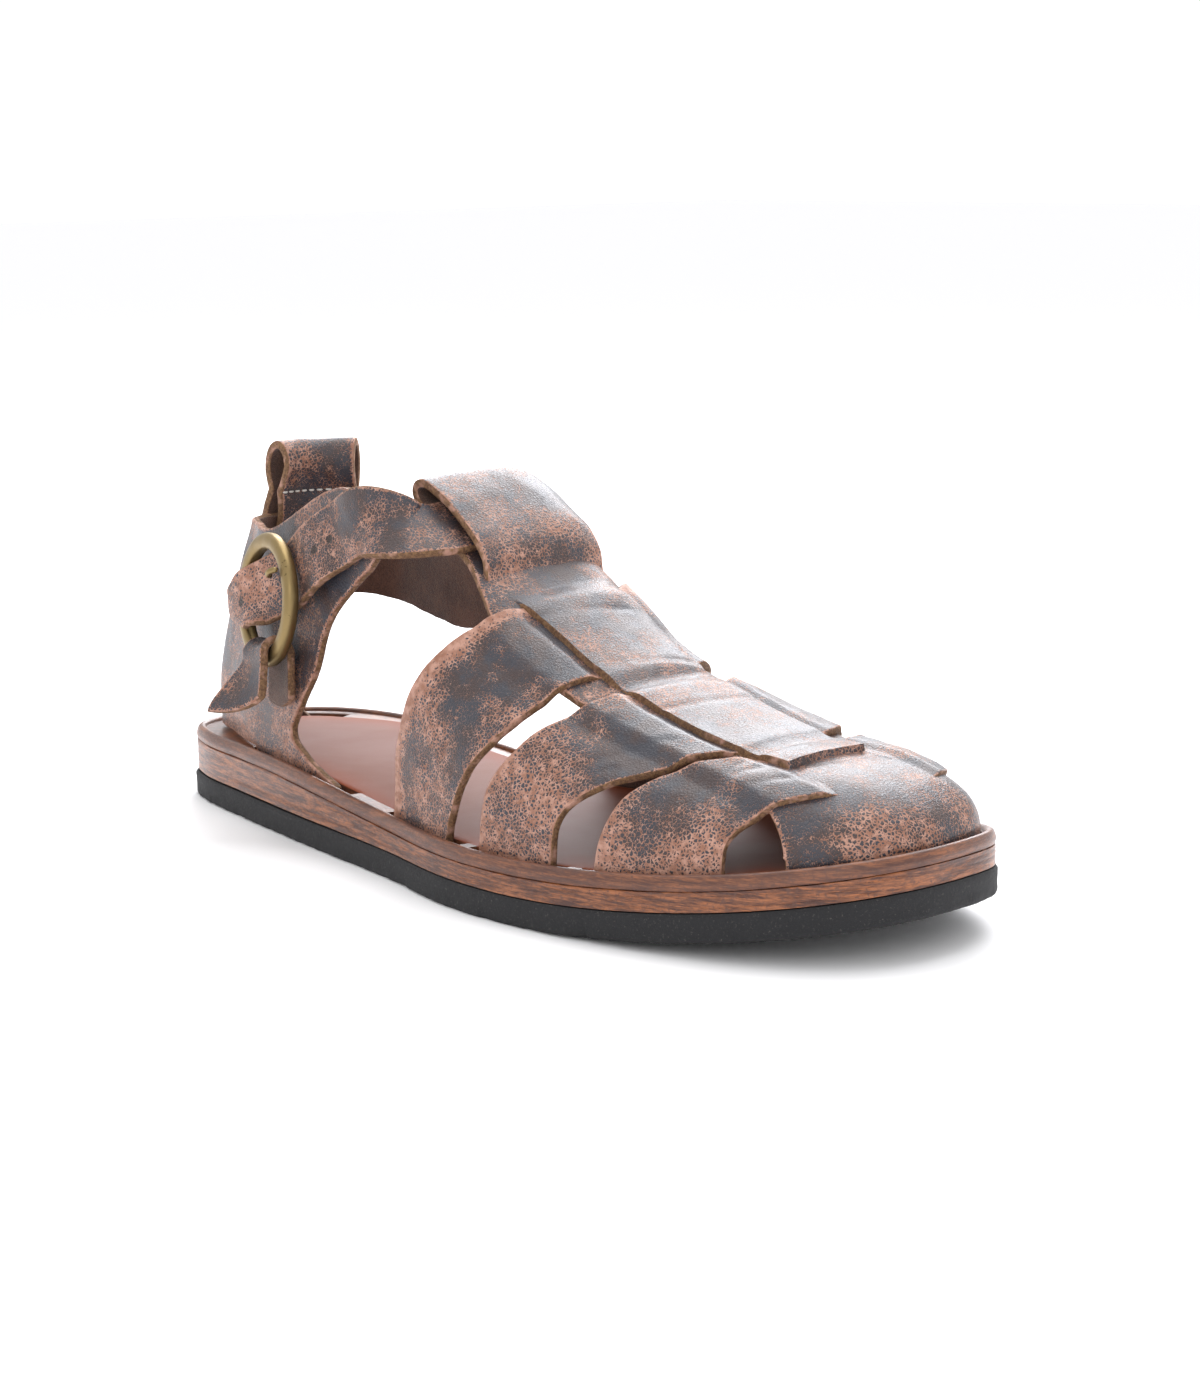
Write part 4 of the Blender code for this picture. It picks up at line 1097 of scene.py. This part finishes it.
def last_normals(x, y):
    """The way out of the foot at places in plan."""
    step = NORMAL_STEP
    inner_x = np.minimum(x, x_of(1.0))
    ahead = (last_height(inner_x + step, y) - last_height(inner_x - step, y)) / (2 * step)
    aside = (last_height(inner_x, y + step) - last_height(inner_x, y - step)) / (2 * step)
    steep = np.maximum(np.hypot(ahead, aside), 1.0)
    normals = np.stack([-ahead, -aside, np.ones_like(ahead)], -1)
    normals[..., 2] /= np.where(steep > MOST_STEEP, steep, 1.0)
    return normals / np.linalg.norm(normals, axis=-1, keepdims=True)


def crease_places(creases):
    """Creases given by along and turn, as lines between points on the foot."""
    placed = []
    for crease in creases:
        start = last_point(x_of(crease.start[0]), crease.start[1])
        end = last_point(x_of(crease.end[0]), crease.end[1])
        placed.append(Crease(start, end, crease.depth, crease.width))
    return placed


def make_cross_strap(number, rows, worn_rows, creases, looks):
    """One strap from slot to slot, over the strip's margins, through its slits and under its bridge."""
    near_slot = np.linspace(0, 0.12, 30)
    turns = np.unique(np.concatenate([near_slot, np.linspace(0.12, 0.88, 210), np.linspace(0.88, 1, 30)]))
    rear = table_value(rows, "turn", "rear", turns)
    front = table_value(rows, "turn", "front", turns)
    width = float(np.mean(front - rear)) * SHOE_LENGTH
    shares = edge_shares(width, 30)
    alongs = rear[:, None] + (front - rear)[:, None] * shares[None, :]
    grid = last_point(x_of(alongs), np.repeat(turns[:, None], len(shares), 1))
    normals = -grid_normals(grid)
    across = grid[..., 1] / BALL_WIDTH
    strip = strip_row(alongs)
    lateral = ramp(strip["lateral"] - MARGIN_FAR, strip["lateral"] - MARGIN_NEAR, across)
    lateral = lateral * dive(strip["lateral_slit"] - across)
    medial = 1 - ramp(strip["medial"] + MARGIN_NEAR, strip["medial"] + MARGIN_FAR, across)
    medial = medial * dive(across - strip["medial_slit"])
    lift = WOVEN_LIFT * np.maximum(lateral, medial)
    lift = lift + uneven(grid, CROSS_UNEVEN, number) + creased(grid, crease_places(creases))
    foot = insole_base(grid[..., 0]) + CLEARANCE
    sides = normals[[0, -1]]
    sides[..., 2] = 0
    sides = unit(sides)
    worn = np.interp(turns, column(worn_rows, "turn"), column(worn_rows, "worn"))
    rear_rub = np.exp(-((shares * width / REAR_RUB_WIDTH) ** 2))
    worn = worn[:, None] + REAR_RUB[number] * rear_rub[None, :]
    low = lowered(grid[0], foot[0], STRAP_END_ROWS[::-1])
    high = lowered(grid[-1], foot[-1], STRAP_END_ROWS)
    return leather_piece(f"cross_strap_{number + 1}", np.concatenate([low, grid, high]), -1, looks, "vamp",
                         start_free=False, end_free=False, relief=with_ends(lift, lift[0], lift[-1]),
                         worn=with_ends(worn, worn[0], worn[-1]), normals=with_ends(normals, *sides))


def make_fold(looks):
    """The loop round the ankle strap, its front end sewn down on the centre strip."""
    at, alongs, lifts = sampled(LOOP_ROWS, 170, "along", "lift")
    lifts = lifts * LEATHER
    first = STRIP_ROWS[0]
    shares = edge_shares((first.medial - first.lateral) * BALL_WIDTH, 34)
    reach = (at - at[0]) / (at[-1] - at[0])
    spread = FLAP_SPREAD * ramp(0.75, 1.0, reach)
    lateral = (first.lateral + FOLD_SET_IN) - spread
    medial = (first.medial - FOLD_SET_IN) + spread
    across = lateral[:, None] + (medial - lateral)[:, None] * shares[None, :]
    ragged = uneven(np.stack([across[0] * BALL_WIDTH, 0 * shares, 0 * shares], -1), FLAP_RAGGED)
    alongs = alongs[:, None] + (ragged * 0.35 * ramp(0.86, 1.0, reach)[:, None])
    x = x_of(alongs)
    y = across * BALL_WIDTH
    normals = last_normals(x, y)
    normals[..., 1] *= LOOP_LEVELLING
    grid = on_last(x, y) + unit(normals) * lifts[:, None, None]
    worn = FLAP_WORN * ramp(0.6, 1.0, reach)[:, None] + 0 * x
    return leather_piece("strap_fold", grid, -1, looks[::-1], "vamp",
                         relief=uneven(grid, FOLD_UNEVEN), worn=worn)


def make_ankle_strap(looks):
    points, outs = strap_route()
    reach = reach_along(points)
    at = np.linspace(0, reach[-1], 420)
    line = smooth_line(reach, points, at)
    out = unit(smooth_line(reach, outs, at))
    ahead = unit(np.gradient(line, axis=0))
    wide = unit(np.cross(ahead, out))
    shares = edge_shares(STRAP_WIDTH, 30)
    narrow = 1 - TIP_NARROWING * ramp(at[-1] - TIP_TAPER, at[-1], at)
    offset = (shares - 0.5)[None, :] * narrow[:, None] * STRAP_WIDTH
    grid = line[:, None, :] + wide[:, None, :] * offset[..., None]
    rough = uneven(np.stack([shares * 0.02] * 3, -1), TIP_RAGGED)
    slant = TIP_SLANT * (shares - 0.5) ** 2 * 4 + TIP_CORNER * ramp(0.35, 1.0, 1 - shares) ** 1.5 + rough
    drawn_back = ramp(at[-1] - 2.2 * TIP_TAPER, at[-1], at)
    grid = grid - ahead[:, None, :] * (slant[None, :] * drawn_back[:, None])[..., None]
    worn = STRAP_WORN + TIP_WORN * ramp(at[-1] - TIP_WORN_REACH, at[-1], at)[:, None] + 0 * offset
    return leather_piece("strap_leather", grid, -1, looks, "ankle_strap",
                         relief=uneven(grid, STRAP_UNEVEN), worn=worn)


def make_keeper(looks):
    """The short strap folded round the ring's lower side, with its cut end hanging outside."""
    centre, normal, heel_ward, up = ring_frame()
    down = heel_ward * KEEPER_SLANT - up
    down /= np.linalg.norm(down)
    across = np.cross(down, normal)
    bend = RING_WIRE / 2 + 2.6 * CLEARANCE
    path = [(KEEPER_LENGTH * share, -bend) for share in np.linspace(0.9, 0.1, 20)]
    path += [(-bend * math.sin(angle), -bend * math.cos(angle)) for angle in np.linspace(0, math.pi, 40)]
    path += [(KEEPER_LENGTH * share, bend + KEEPER_FLARE * share**2) for share in np.linspace(0.05, 1.0, 40)]
    shares = edge_shares(KEEPER_WIDTH, 24) - 0.5
    grid = []
    for number, (drop, lift) in enumerate(path):
        far = number / (len(path) - 1)
        wide = KEEPER_WIDTH * (1 + KEEPER_SPREAD * ramp(0.6, 1.0, far))
        aside = wide * shares
        slant = KEEPER_END_SLANT * shares * ramp(0.7, 1.0, far)
        reach = np.sqrt(RING_RADIUS**2 - (KEEPER_WIDTH * shares) ** 2) + drop + slant
        stand = KEEPER_STAND * (shares + 0.5) ** 1.5 * ramp(0.62, 1.0, far)
        row = centre + down * reach[:, None] + across * aside[:, None] + normal * (lift + stand)[:, None]
        grid.append(row)
    grid = np.array(grid)
    return leather_piece("keeper_leather", grid, -1, looks, "buckle_keeper",
                         relief=uneven(grid, KEEPER_UNEVEN), worn=KEEPER_WORN)


def pull_place(share, up, lift):
    """A point of the pull loop, by its share across and its place on the fold."""
    y = PULL_SHIFT * BALL_WIDTH + PULL_WIDTH * share
    turn = turn_at_back(y)
    place, out = surface_frame(wall_point, turn, up, FINE_STEP)
    return place + out * lift


def make_pull_loop(looks):
    _, ups, lifts = sampled(PULL_FOLD, 150, "up", "lift")
    lifts = lifts * LEATHER
    shares = edge_shares(PULL_WIDTH, 26) - 0.5
    grid = np.array([[pull_place(share, up, lift) for share in shares] for up, lift in zip(ups, lifts)])
    return leather_piece("pull_leather", grid, -1, looks, "pull_loop",
                         relief=uneven(grid, PULL_UNEVEN), worn=PULL_WORN)


def wall_walk():
    """Turns round the wall's foot from its lateral front, and how far along it each one lies."""
    front = float(turn_on_ring(-1, COUNTER_REACH))
    turns = np.linspace(front, -front, 900)
    return turns, reach_along(wall_foot(turns))


def turn_for(side, x, up):
    """The turn at which the wall has this x at this height."""
    turns = np.linspace(0.0, float(turn_on_ring(-1, COUNTER_REACH)), 400) * -side
    xs = wall_point(turns, np.full(len(turns), up))[:, 0]
    return float(np.interp(x, xs, turns))


def opening_edge(corners, side, top):
    """An opening's edge between the leg and the top, as turns and heights on the wall."""
    _, alongs, ups = sampled(corners, 12 * len(corners), "along", "up")
    edge = []
    for along, up in zip(alongs, ups):
        if OPENING_FOOT < up < top and along < OPENING_FRONT:
            edge.append((turn_for(side, x_of(along), up), up))
    return edge


def side_of(turn):
    return -1 if turn > 0 else 1


def counter_outline():
    """The counter's edge as turns and heights: J-shaped front, leg, heel, inner leg, wing and top edge."""
    lateral = opening_edge(LATERAL_OPENING, -1, LOBE_TOP)
    medial = opening_edge(MEDIAL_OPENING, 1, BACK_HEIGHT)
    outline = []
    for turn in np.linspace(lateral[-1][0], medial[-1][0], 260)[1:-1]:
        place = wall_foot(np.array(turn))
        outline.append((turn, wall_top(side_of(turn), float(along_of(place[0])))))
    outline += medial[::-1]
    for turn in np.linspace(medial[0][0], lateral[0][0], 320):
        place = wall_foot(np.array(turn))
        edge_along = 0.5 * (1 - math.cos(turn))
        base = wall_base(side_of(turn), edge_along, place[0])
        outline.append((turn, base / COUNTER_HEIGHT))
    outline += lateral
    return np.array(outline)


def resampled(loop, spacing):
    closed = np.vstack([loop, loop[:1]])
    reach = reach_along(closed)
    at = np.linspace(0, reach[-1], max(8, int(reach[-1] / spacing)), endpoint=False)
    return np.stack([np.interp(at, reach, closed[:, k]) for k in (0, 1)], 1)


def nearest_border(places, border):
    """Each place's distance to the nearest of the border's points."""
    best = np.full(len(places), 1.0)
    for start in range(0, len(border), 64):
        part = border[start:start + 64]
        gap = np.linalg.norm(places[:, None, :] - part[None, :, :], axis=2).min(axis=1)
        best = np.minimum(best, gap)
    return best


def make_counter(looks):
    """The heel counter, cut from the wall round the heel along its outline."""
    fine, walked_foot = wall_walk()
    outline = counter_outline()
    flat = np.stack([np.interp(-outline[:, 0], -fine, walked_foot), outline[:, 1] * COUNTER_HEIGHT], 1)
    border = resampled(flat, COUNTER_BORDER_STEP)
    spots = np.column_stack([border, np.zeros(len(border))])
    border = border + np.stack([uneven(spots, COUNTER_RAGGED, extra) for extra in (0, 1)], 1)
    dense = resampled(border, BORDER_CHECK_STEP)
    after = np.roll(border, -1, 0) - np.roll(border, 1, 0)
    inwards = unit(np.stack([-after[:, 1], after[:, 0]], 1))
    area = 0.5 * np.sum(border[:, 0] * np.roll(border[:, 1], -1) - np.roll(border[:, 0], -1) * border[:, 1])
    inwards *= np.sign(area)
    places = []
    for offset in EDGE_OFFSETS[1:]:
        ring = border + inwards * offset
        places.append(ring[nearest_border(ring, dense) > 0.85 * offset])
    low, high = border.min(0), border.max(0)
    across, up = np.meshgrid(*[np.arange(low[k], high[k], COUNTER_GRID) for k in (0, 1)])
    across = across + COUNTER_GRID / 2 * (np.arange(across.shape[0]) % 2)[:, None]
    inner = np.stack([across.ravel(), up.ravel()], 1)
    inner = inner[nearest_border(inner, dense) > EDGE_OFFSETS[-1] + 0.4 * COUNTER_GRID]
    places = np.concatenate([border] + places + [inner])
    count = len(border)
    edges = [(k, (k + 1) % count) for k in range(count)]
    found = geometry.delaunay_2d_cdt([Vector(place) for place in places.tolist()], edges, [], 1, 1e-7)
    places = np.array([tuple(place) for place in found[0]])
    triangles = np.array([list(face) for face in found[2]])
    return counter_from(places, triangles, dense, looks)


def counter_from(places, triangles, dense, looks):
    fine, walked_foot = wall_walk()
    turns = np.interp(places[:, 0], walked_foot, fine)
    ups = places[:, 1] / COUNTER_HEIGHT
    base, normals = surface_frame(wall_point, turns, ups, FINE_STEP)
    middle = np.array([base[:, 0].mean(), 0.0, base[:, 2].mean()])
    away = np.sign(np.sum(normals * (base - middle) * [1, 1, 0]))
    normals = normals * away
    edge = nearest_border(places, dense)
    edge[edge < COUNTER_BORDER_SNAP] = 0.0
    relief = uneven(base, COUNTER_UNEVEN)
    outer = base + normals * (LEATHER + relief - rounding(edge, TOP_ROUND))[:, None]
    inner = base + normals * (relief + rounding(edge, FLESH_ROUND))[:, None]
    count = len(places)
    sides = {}
    for a, b, c in triangles.tolist():
        for pair in ((a, b), (b, c), (c, a)):
            if (pair[1], pair[0]) in sides:
                del sides[(pair[1], pair[0])]
            else:
                sides[pair] = True
    faces = triangles.tolist() + (triangles[:, ::-1] + count).tolist()
    indices = [0] * len(triangles) + [2] * len(triangles)
    for a, b in sides:
        faces.append([b, a, a + count, b + count])
        indices.append(1)
    points = np.concatenate([outer, inner])
    edge_value = np.concatenate([edge, edge]) * MILLIMETRES
    worn = COUNTER_WORN + FOOT_OF_COUNTER_WORN * (1 - ramp(0.25, 0.6, ups))
    return add_piece("counter_leather", points, faces, indices, looks, "heel_counter", "crackled_leather",
                     edge=edge_value, worn=np.concatenate([worn, worn]))


def make_ring(look):
    """The brass ring: a flat-rounded bar bent to a circle, a little uneven."""
    centre, normal, heel_ward, up = ring_frame()
    section = even_turns(28)
    wide = RING_BAND / 2 * np.sign(np.cos(section)) * np.abs(np.cos(section)) ** 0.8
    thick = RING_WIRE / 2 * np.sign(np.sin(section)) * np.abs(np.sin(section)) ** 0.8
    rows = []
    for angle in even_turns(160):
        out = heel_ward * math.cos(angle) + up * math.sin(angle)
        rows.append(centre + out * (RING_RADIUS + wide)[:, None] + normal * thick[:, None])
    grid = np.array(rows)
    grid = grid + uneven(grid, RING_UNEVEN)[..., None] * normal
    return tube_piece("brass_ring", grid, True, look, "buckle_ring", "aged_brass")


def tube_piece(name, grid, closed, look, node, slot):
    """A closed tube from rings of points, joined end to end or capped."""
    rows, columns = grid.shape[:2]
    corner = np.arange(rows * columns).reshape(rows, columns)
    last_row = rows if closed else rows - 1
    faces = []
    for i in range(last_row):
        for j in range(columns):
            m = (j + 1) % columns
            n = (i + 1) % rows
            faces.append([int(corner[i, j]), int(corner[i, m]), int(corner[n, m]), int(corner[n, j])])
    if not closed:
        faces.append(corner[0, ::-1].tolist())
        faces.append(corner[-1].tolist())
    return add_piece(name, grid.reshape(-1, 3), faces, [0] * len(faces), [look], node, slot, 60)


def rod(name, line, radii, look, node, slot):
    """A round rod through a line of points, with a radius at each."""
    line = np.asarray(line, float)
    ahead = unit(np.gradient(line, axis=0))
    aside = unit(np.cross(ahead, (0.3, 0.5, 0.81)))
    other = np.cross(ahead, aside)
    angles = even_turns(14)
    rows = []
    for place, one, two, radius in zip(line, aside, other, radii):
        rows.append([place + radius * (one * math.cos(angle) + two * math.sin(angle)) for angle in angles])
    return tube_piece(name, np.array(rows), False, look, node, slot)


def make_prong(look):
    """The prong's tip, out of the strap's hole and down on the ring's front edge."""
    centre, normal, heel_ward, up = ring_frame()
    rows = []
    for out, rise, lift in PRONG_LINE:
        place = centre - heel_ward * out * RING_RADIUS + up * rise * RING_RADIUS + normal * lift * LEATHER
        rows.append(place)
    at = np.linspace(0, len(rows) - 1, 24)
    line = smooth_line(np.arange(len(rows), dtype=float), np.array(rows), at)
    radii = PRONG_RADIUS * np.sqrt(np.clip(1 - np.abs(2 * at / at[-1] - 1) ** 8, 0.02, 1))
    return rod("buckle_prong", line, radii, look, "buckle_ring", "aged_brass")


def make_stitches(look):
    """The line of white stitches that closes the pull loop's fold."""
    parts = np.linspace(0, 1, 9)
    radii = THREAD_RADIUS * np.sqrt(np.clip(1 - np.abs(2 * parts - 1) ** 6, 0.05, 1))
    for number in range(STITCHES):
        start = -0.5 + (number + 0.12) / STITCHES
        end = -0.5 + (number + 0.80) / STITCHES
        for face, (lift, way) in enumerate(STITCH_FACES):
            line = []
            for part in parts:
                share = start + (end - start) * part
                bulge = STITCH_LIFT + THREAD_RADIUS * math.sin(math.pi * part)
                line.append(pull_place(share, STITCH_UP, lift * LEATHER + way * bulge))
            name = f"pull_stitch_{number + 1}_{'front' if face == 0 else 'back'}"
            rod(name, line, radii, look, "pull_loop", "crackled_leather")


class Look:
    """A procedural material, built node by node on the piece's own coordinates."""

    def __init__(self, name):
        self.material = bpy.data.materials.new(name)
        self.material.use_nodes = True
        self.tree = self.material.node_tree
        self.shader = self.tree.nodes["Principled BSDF"]
        self.place = self.tree.nodes.new("ShaderNodeTexCoord").outputs["Object"]

    def node(self, kind, inputs, **settings):
        made = self.tree.nodes.new("ShaderNode" + kind)
        for key, value in settings.items():
            setattr(made, key, value)
        for key, value in inputs.items():
            self.fill(made.inputs[key], value)
        return made

    def fill(self, socket, value):
        if isinstance(value, bpy.types.NodeSocket):
            self.tree.links.new(value, socket)
        else:
            socket.default_value = value

    def noise(self, scale, detail=3.0, roughness=0.55, place=None):
        inputs = {"Vector": place or self.place, "Scale": scale, "Detail": detail, "Roughness": roughness}
        return self.node("TexNoise", inputs).outputs["Fac"]

    def bent(self, scale, amount):
        """The piece's coordinates, shaken by a fine noise so that no edge runs straight."""
        shake = self.node("TexNoise", {"Vector": self.place, "Scale": scale, "Detail": 2.0}).outputs["Color"]
        centred = self.node("VectorMath", {0: shake, 1: (0.5, 0.5, 0.5)}, operation="SUBTRACT").outputs[0]
        scaled = self.node("VectorMath", {0: centred, "Scale": amount}, operation="SCALE").outputs[0]
        return self.node("VectorMath", {0: self.place, 1: scaled}, operation="ADD").outputs[0]

    def stretched(self, scale):
        return self.node("VectorMath", {0: self.place, 1: scale}, operation="MULTIPLY").outputs[0]

    def cells(self, scale, place):
        inputs = {"Vector": place, "Scale": scale}
        return self.node("TexVoronoi", inputs, feature="DISTANCE_TO_EDGE").outputs["Distance"]

    def sum(self, *terms):
        """Values times their weights, added up; a bare number is added as it is."""
        total = 0.0
        for term in terms:
            value, weight = term if isinstance(term, tuple) else (term, 1.0)
            inputs = {0: value, 1: weight, 2: total}
            total = self.node("Math", inputs, operation="MULTIPLY_ADD").outputs[0]
        return total

    def between(self, value, low, high, start=0.0, end=1.0):
        inputs = {"Value": value, "From Min": low, "From Max": high, "To Min": start, "To Max": end}
        return self.node("MapRange", inputs, interpolation_type="SMOOTHSTEP").outputs["Result"]

    def mix(self, share, first, second):
        return self.node("Mix", {0: share, 6: first, 7: second}, data_type="RGBA").outputs[2]

    def value(self, name):
        return self.node("Attribute", {}, attribute_name=name).outputs["Fac"]

    def bump(self, height, depth, strength=1.0):
        inputs = {"Height": height, "Distance": depth, "Strength": strength}
        return self.node("Bump", inputs).outputs["Normal"]

    def finish(self, **inputs):
        for key, value in inputs.items():
            self.fill(self.shader.inputs[key.replace("_", " ").title().replace("Ior", "IOR")], value)
        return self.material


def strap_holes():
    """The punched holes that show, on the strap's outer face; their dark insides are painted shade, not cut.
    """
    points, outs = strap_route()
    reach = reach_along(points)
    at = reach[-1] - np.array(HOLES_FROM_END)
    places = smooth_line(reach, points, at) + unit(smooth_line(reach, outs, at)) * LEATHER
    return [tuple(place) for place in places]


def crackled_leather(name, holes=()):
    """A dark slate finish broken into small islands, with tan leather showing in the net between."""
    look = Look(name)
    bent = look.bent(1000.0, 0.0009)
    islands = look.cells(980.0, bent)
    fine = look.cells(2300.0, bent)
    grain = look.noise(3200.0, 3.0)
    patches = look.between(look.noise(62.0, 5.0, 0.62), 0.38, 0.64)
    middling = look.noise(330.0, 5.0, 0.7)
    rubbed = look.between(look.value("edge"), 0.0, 1.3, 0.6, 0.0)
    level = look.sum(-WEAR_KEPT, (patches, 0.42), (middling, 0.60), rubbed, look.value("worn"))
    surface = look.sum((islands, 1.0), (grain, 0.30), (fine, 0.30), -0.18)
    bare = look.between(look.sum((surface, 1.0), (level, -0.42)), 0.04, -0.04)
    dark = look.mix(look.between(look.noise(140.0), 0.4, 0.62), SLATE, BROWN_SLATE)
    tan = look.mix(look.between(look.noise(420.0, 4.0), 0.35, 0.7), DEEP_TAN, TAN)
    colour = look.mix(bare, dark, tan)
    height = look.sum((bare, -0.55), (grain, 0.5), (fine, 0.5), (islands, 1.3), (middling, 0.35))
    rough = look.sum(0.34, (bare, 0.22), (grain, 0.14))
    # Each hole is painted, not cut: a dark disc of painted shade, sunk by the bump, with a swollen rim round
    # it.
    for hole in holes:
        gap = look.node("VectorMath", {0: look.place, 1: hole}, operation="DISTANCE").outputs["Value"]
        inside = look.between(gap, HOLE_EDGE, HOLE_RADIUS)
        colour = look.mix(inside, colour, HOLE_PAINTED_SHADE)
        height = look.sum((height, 1.0), (inside, -5.0), (look.between(gap, HOLE_SWELL, HOLE_EDGE), 0.9))
    return look.finish(base_color=colour, roughness=rough, normal=look.bump(height, 0.00022, 0.9),
                       coat_weight=0.18, coat_roughness=0.22)


def cut_edge():
    look = Look("cut_edge")
    fibres = look.noise(1300.0, 5.0, 0.7)
    colour = look.mix(look.between(fibres, 0.36, 0.64), EDGE_BROWN, EDGE_OLIVE)
    colour = look.mix(look.between(look.noise(260.0), 0.5, 0.72), colour, TAN)
    return look.finish(base_color=colour, roughness=0.78, normal=look.bump(fibres, 0.0004))


def flesh_side():
    look = Look("flesh_side")
    nap = look.noise(1700.0, 5.0, 0.7)
    cloud = look.noise(90.0, 3.0)
    colour = look.mix(look.between(look.sum((nap, 0.6), (cloud, 0.4)), 0.38, 0.62), DARK_SUEDE, SUEDE)
    return look.finish(base_color=colour, roughness=0.92, normal=look.bump(nap, 0.0004),
                       sheen_weight=0.25, sheen_roughness=0.5)


def footbed():
    """Smooth red brown leather, with orange-brown painted shade and painted reflection of the straps beside
    the rim.
    """
    look = Look("footbed")
    cloud = look.noise(38.0, 3.0)
    pores = look.noise(2200.0, 3.0)
    colour = look.mix(look.between(cloud, 0.38, 0.66), BED_BROWN, BED_PINK)
    # Painted shade and painted reflection of the straps: orange brown near the rim, fading into the bed.
    rim = look.between(look.sum((look.value("rim"), 1.0), (cloud, 0.25)), 0.15, 0.60, 0.9, 0.0)
    colour = look.mix(rim, colour, BED_RIM_PAINTED_SHADE)
    height = look.sum((pores, 0.5), (look.noise(160.0, 3.0), 0.8))
    return look.finish(base_color=colour, roughness=0.58, normal=look.bump(height, 0.00010),
                       specular_ior_level=0.25)


def burnished(name, top_shade=0.0):
    """Stacked leather burnished to a streaked red brown."""
    look = Look(name)
    flat = look.stretched((1.0, 1.0, 11.0))
    streaks = look.noise(95.0, 5.0, 0.62, flat)
    threads = look.noise(420.0, 4.0, 0.6, flat)
    spots = look.noise(900.0, 3.0)
    tone = look.sum((streaks, 0.6), (threads, 0.4))
    colour = look.mix(look.between(tone, 0.40, 0.66), STACK_DARK, STACK_ORANGE)
    colour = look.mix(look.between(spots, 0.50, 0.75, top_shade, 1.0), colour, LIP_BROWN)
    height = look.sum((threads, 0.7), (spots, 0.4))
    return look.finish(base_color=colour, roughness=0.36, normal=look.bump(height, 0.00014),
                       coat_weight=0.12, coat_roughness=0.25)


def rubber():
    look = Look("rubber")
    grit = look.noise(1500.0, 5.0, 0.75)
    coarse = look.noise(420.0, 3.0)
    colour = look.mix(look.between(grit, 0.56, 0.72), RUBBER, RUBBER_SPECK)
    height = look.sum((grit, 1.0), (coarse, 0.8))
    return look.finish(base_color=colour, roughness=0.74, normal=look.bump(height, 0.0005))


def aged_brass():
    look = Look("aged_brass")
    pits = look.noise(820.0, 4.0, 0.7)
    cloud = look.noise(130.0, 3.0)
    colour = look.mix(look.between(look.sum((pits, 0.75), (cloud, 0.25)), 0.60, 0.68), BRASS, BRASS_PIT)
    rough = look.sum(0.30, (cloud, 0.22))
    return look.finish(base_color=colour, metallic=0.9, roughness=rough, normal=look.bump(pits, 0.00005))


def white_thread():
    look = Look("white_thread")
    twist = look.noise(2400.0, 2.0)
    colour = look.mix(twist, THREAD, THREAD_SHADE)
    return look.finish(base_color=colour, roughness=0.8, normal=look.bump(twist, 0.0001))


def make_floor():
    mesh = bpy.data.meshes.new("floor")
    corners = [(x * FLOOR_REACH, y * FLOOR_REACH, 0) for x, y in ((-1, -1), (1, -1), (1, 1), (-1, 1))]
    mesh.from_pydata(corners, [], [(0, 1, 2, 3)])
    floor = bpy.data.objects.new("floor", mesh)
    bpy.context.scene.collection.objects.link(floor)
    look = Look("floor")
    mesh.materials.append(look.finish(base_color=FLOOR, roughness=0.9))


def add_lights():
    scene = bpy.context.scene
    world = bpy.data.worlds.new("studio")
    scene.world = world
    world.use_nodes = True
    backdrop = world.node_tree.nodes["Background"]
    backdrop.inputs["Color"].default_value = (1.0, 1.0, 1.0, 1.0)
    backdrop.inputs["Strength"].default_value = WORLD_STRENGTH
    scene.view_settings.view_transform = "Standard"
    for row in LIGHTS:
        light = bpy.data.lights.new(row.name, "AREA")
        light.shape = "RECTANGLE"
        light.size, light.size_y = row.size
        light.energy = row.power
        light.color = row.colour
        lamp = bpy.data.objects.new(row.name, light)
        lamp.location = row.place
        lamp.rotation_mode = "QUATERNION"
        lamp.rotation_quaternion = (Vector(LIGHT_TARGET) - Vector(row.place)).to_track_quat("-Z", "Y")
        scene.collection.objects.link(lamp)


def add_camera():
    azimuth = math.radians(CAMERA_AZIMUTH)
    elevation = math.radians(CAMERA_ELEVATION)
    roll = math.radians(CAMERA_ROLL)
    level = math.cos(elevation)
    back = Vector((math.cos(azimuth) * level, -math.sin(azimuth) * level, math.sin(elevation)))
    right = Vector((math.sin(azimuth), math.cos(azimuth), 0.0))
    up = back.cross(right)
    turned_right = right * math.cos(roll) + up * math.sin(roll)
    turned_up = up * math.cos(roll) - right * math.sin(roll)
    camera = bpy.data.objects.new("camera", bpy.data.cameras.new("camera"))
    turning = Matrix((turned_right, turned_up, back)).transposed().to_4x4()
    camera.matrix_world = Matrix.Translation(Vector(CAMERA_TARGET) + back * CAMERA_DISTANCE) @ turning
    camera.data.sensor_fit = "AUTO"
    camera.data.sensor_width = SENSOR_WIDTH
    camera.data.lens = FOCAL_PIXELS * SENSOR_WIDTH / PHOTO_HEIGHT
    camera.data.shift_x = (PHOTO_WIDTH / 2 - CENTRE_PIXEL[0]) / PHOTO_HEIGHT
    camera.data.shift_y = (CENTRE_PIXEL[1] - PHOTO_HEIGHT / 2) / PHOTO_HEIGHT
    camera.data.clip_start = 0.01
    bpy.context.scene.collection.objects.link(camera)
    bpy.context.scene.camera = camera


def build():
    edge = cut_edge()
    flesh = flesh_side()
    grain = crackled_leather("crackled_leather")
    leather = [grain, edge, flesh]
    brass = aged_brass()
    make_outsole([rubber()])
    make_midsole([burnished("burnished_stack")])
    make_insole([footbed(), burnished("burnished_lip", 0.45)])
    make_strip(leather)
    for number, rows in enumerate(CROSS_STRAPS):
        make_cross_strap(number, rows, STRAP_WEAR[number], STRAP_CREASES[number], leather)
    make_fold(leather)
    make_counter(leather)
    make_ankle_strap([crackled_leather("punched_leather", strap_holes()), edge, flesh])
    make_keeper(leather)
    make_pull_loop(leather)
    make_ring(brass)
    make_prong(brass)
    make_stitches(white_thread())
    make_floor()
    add_lights()
    add_camera()


build()
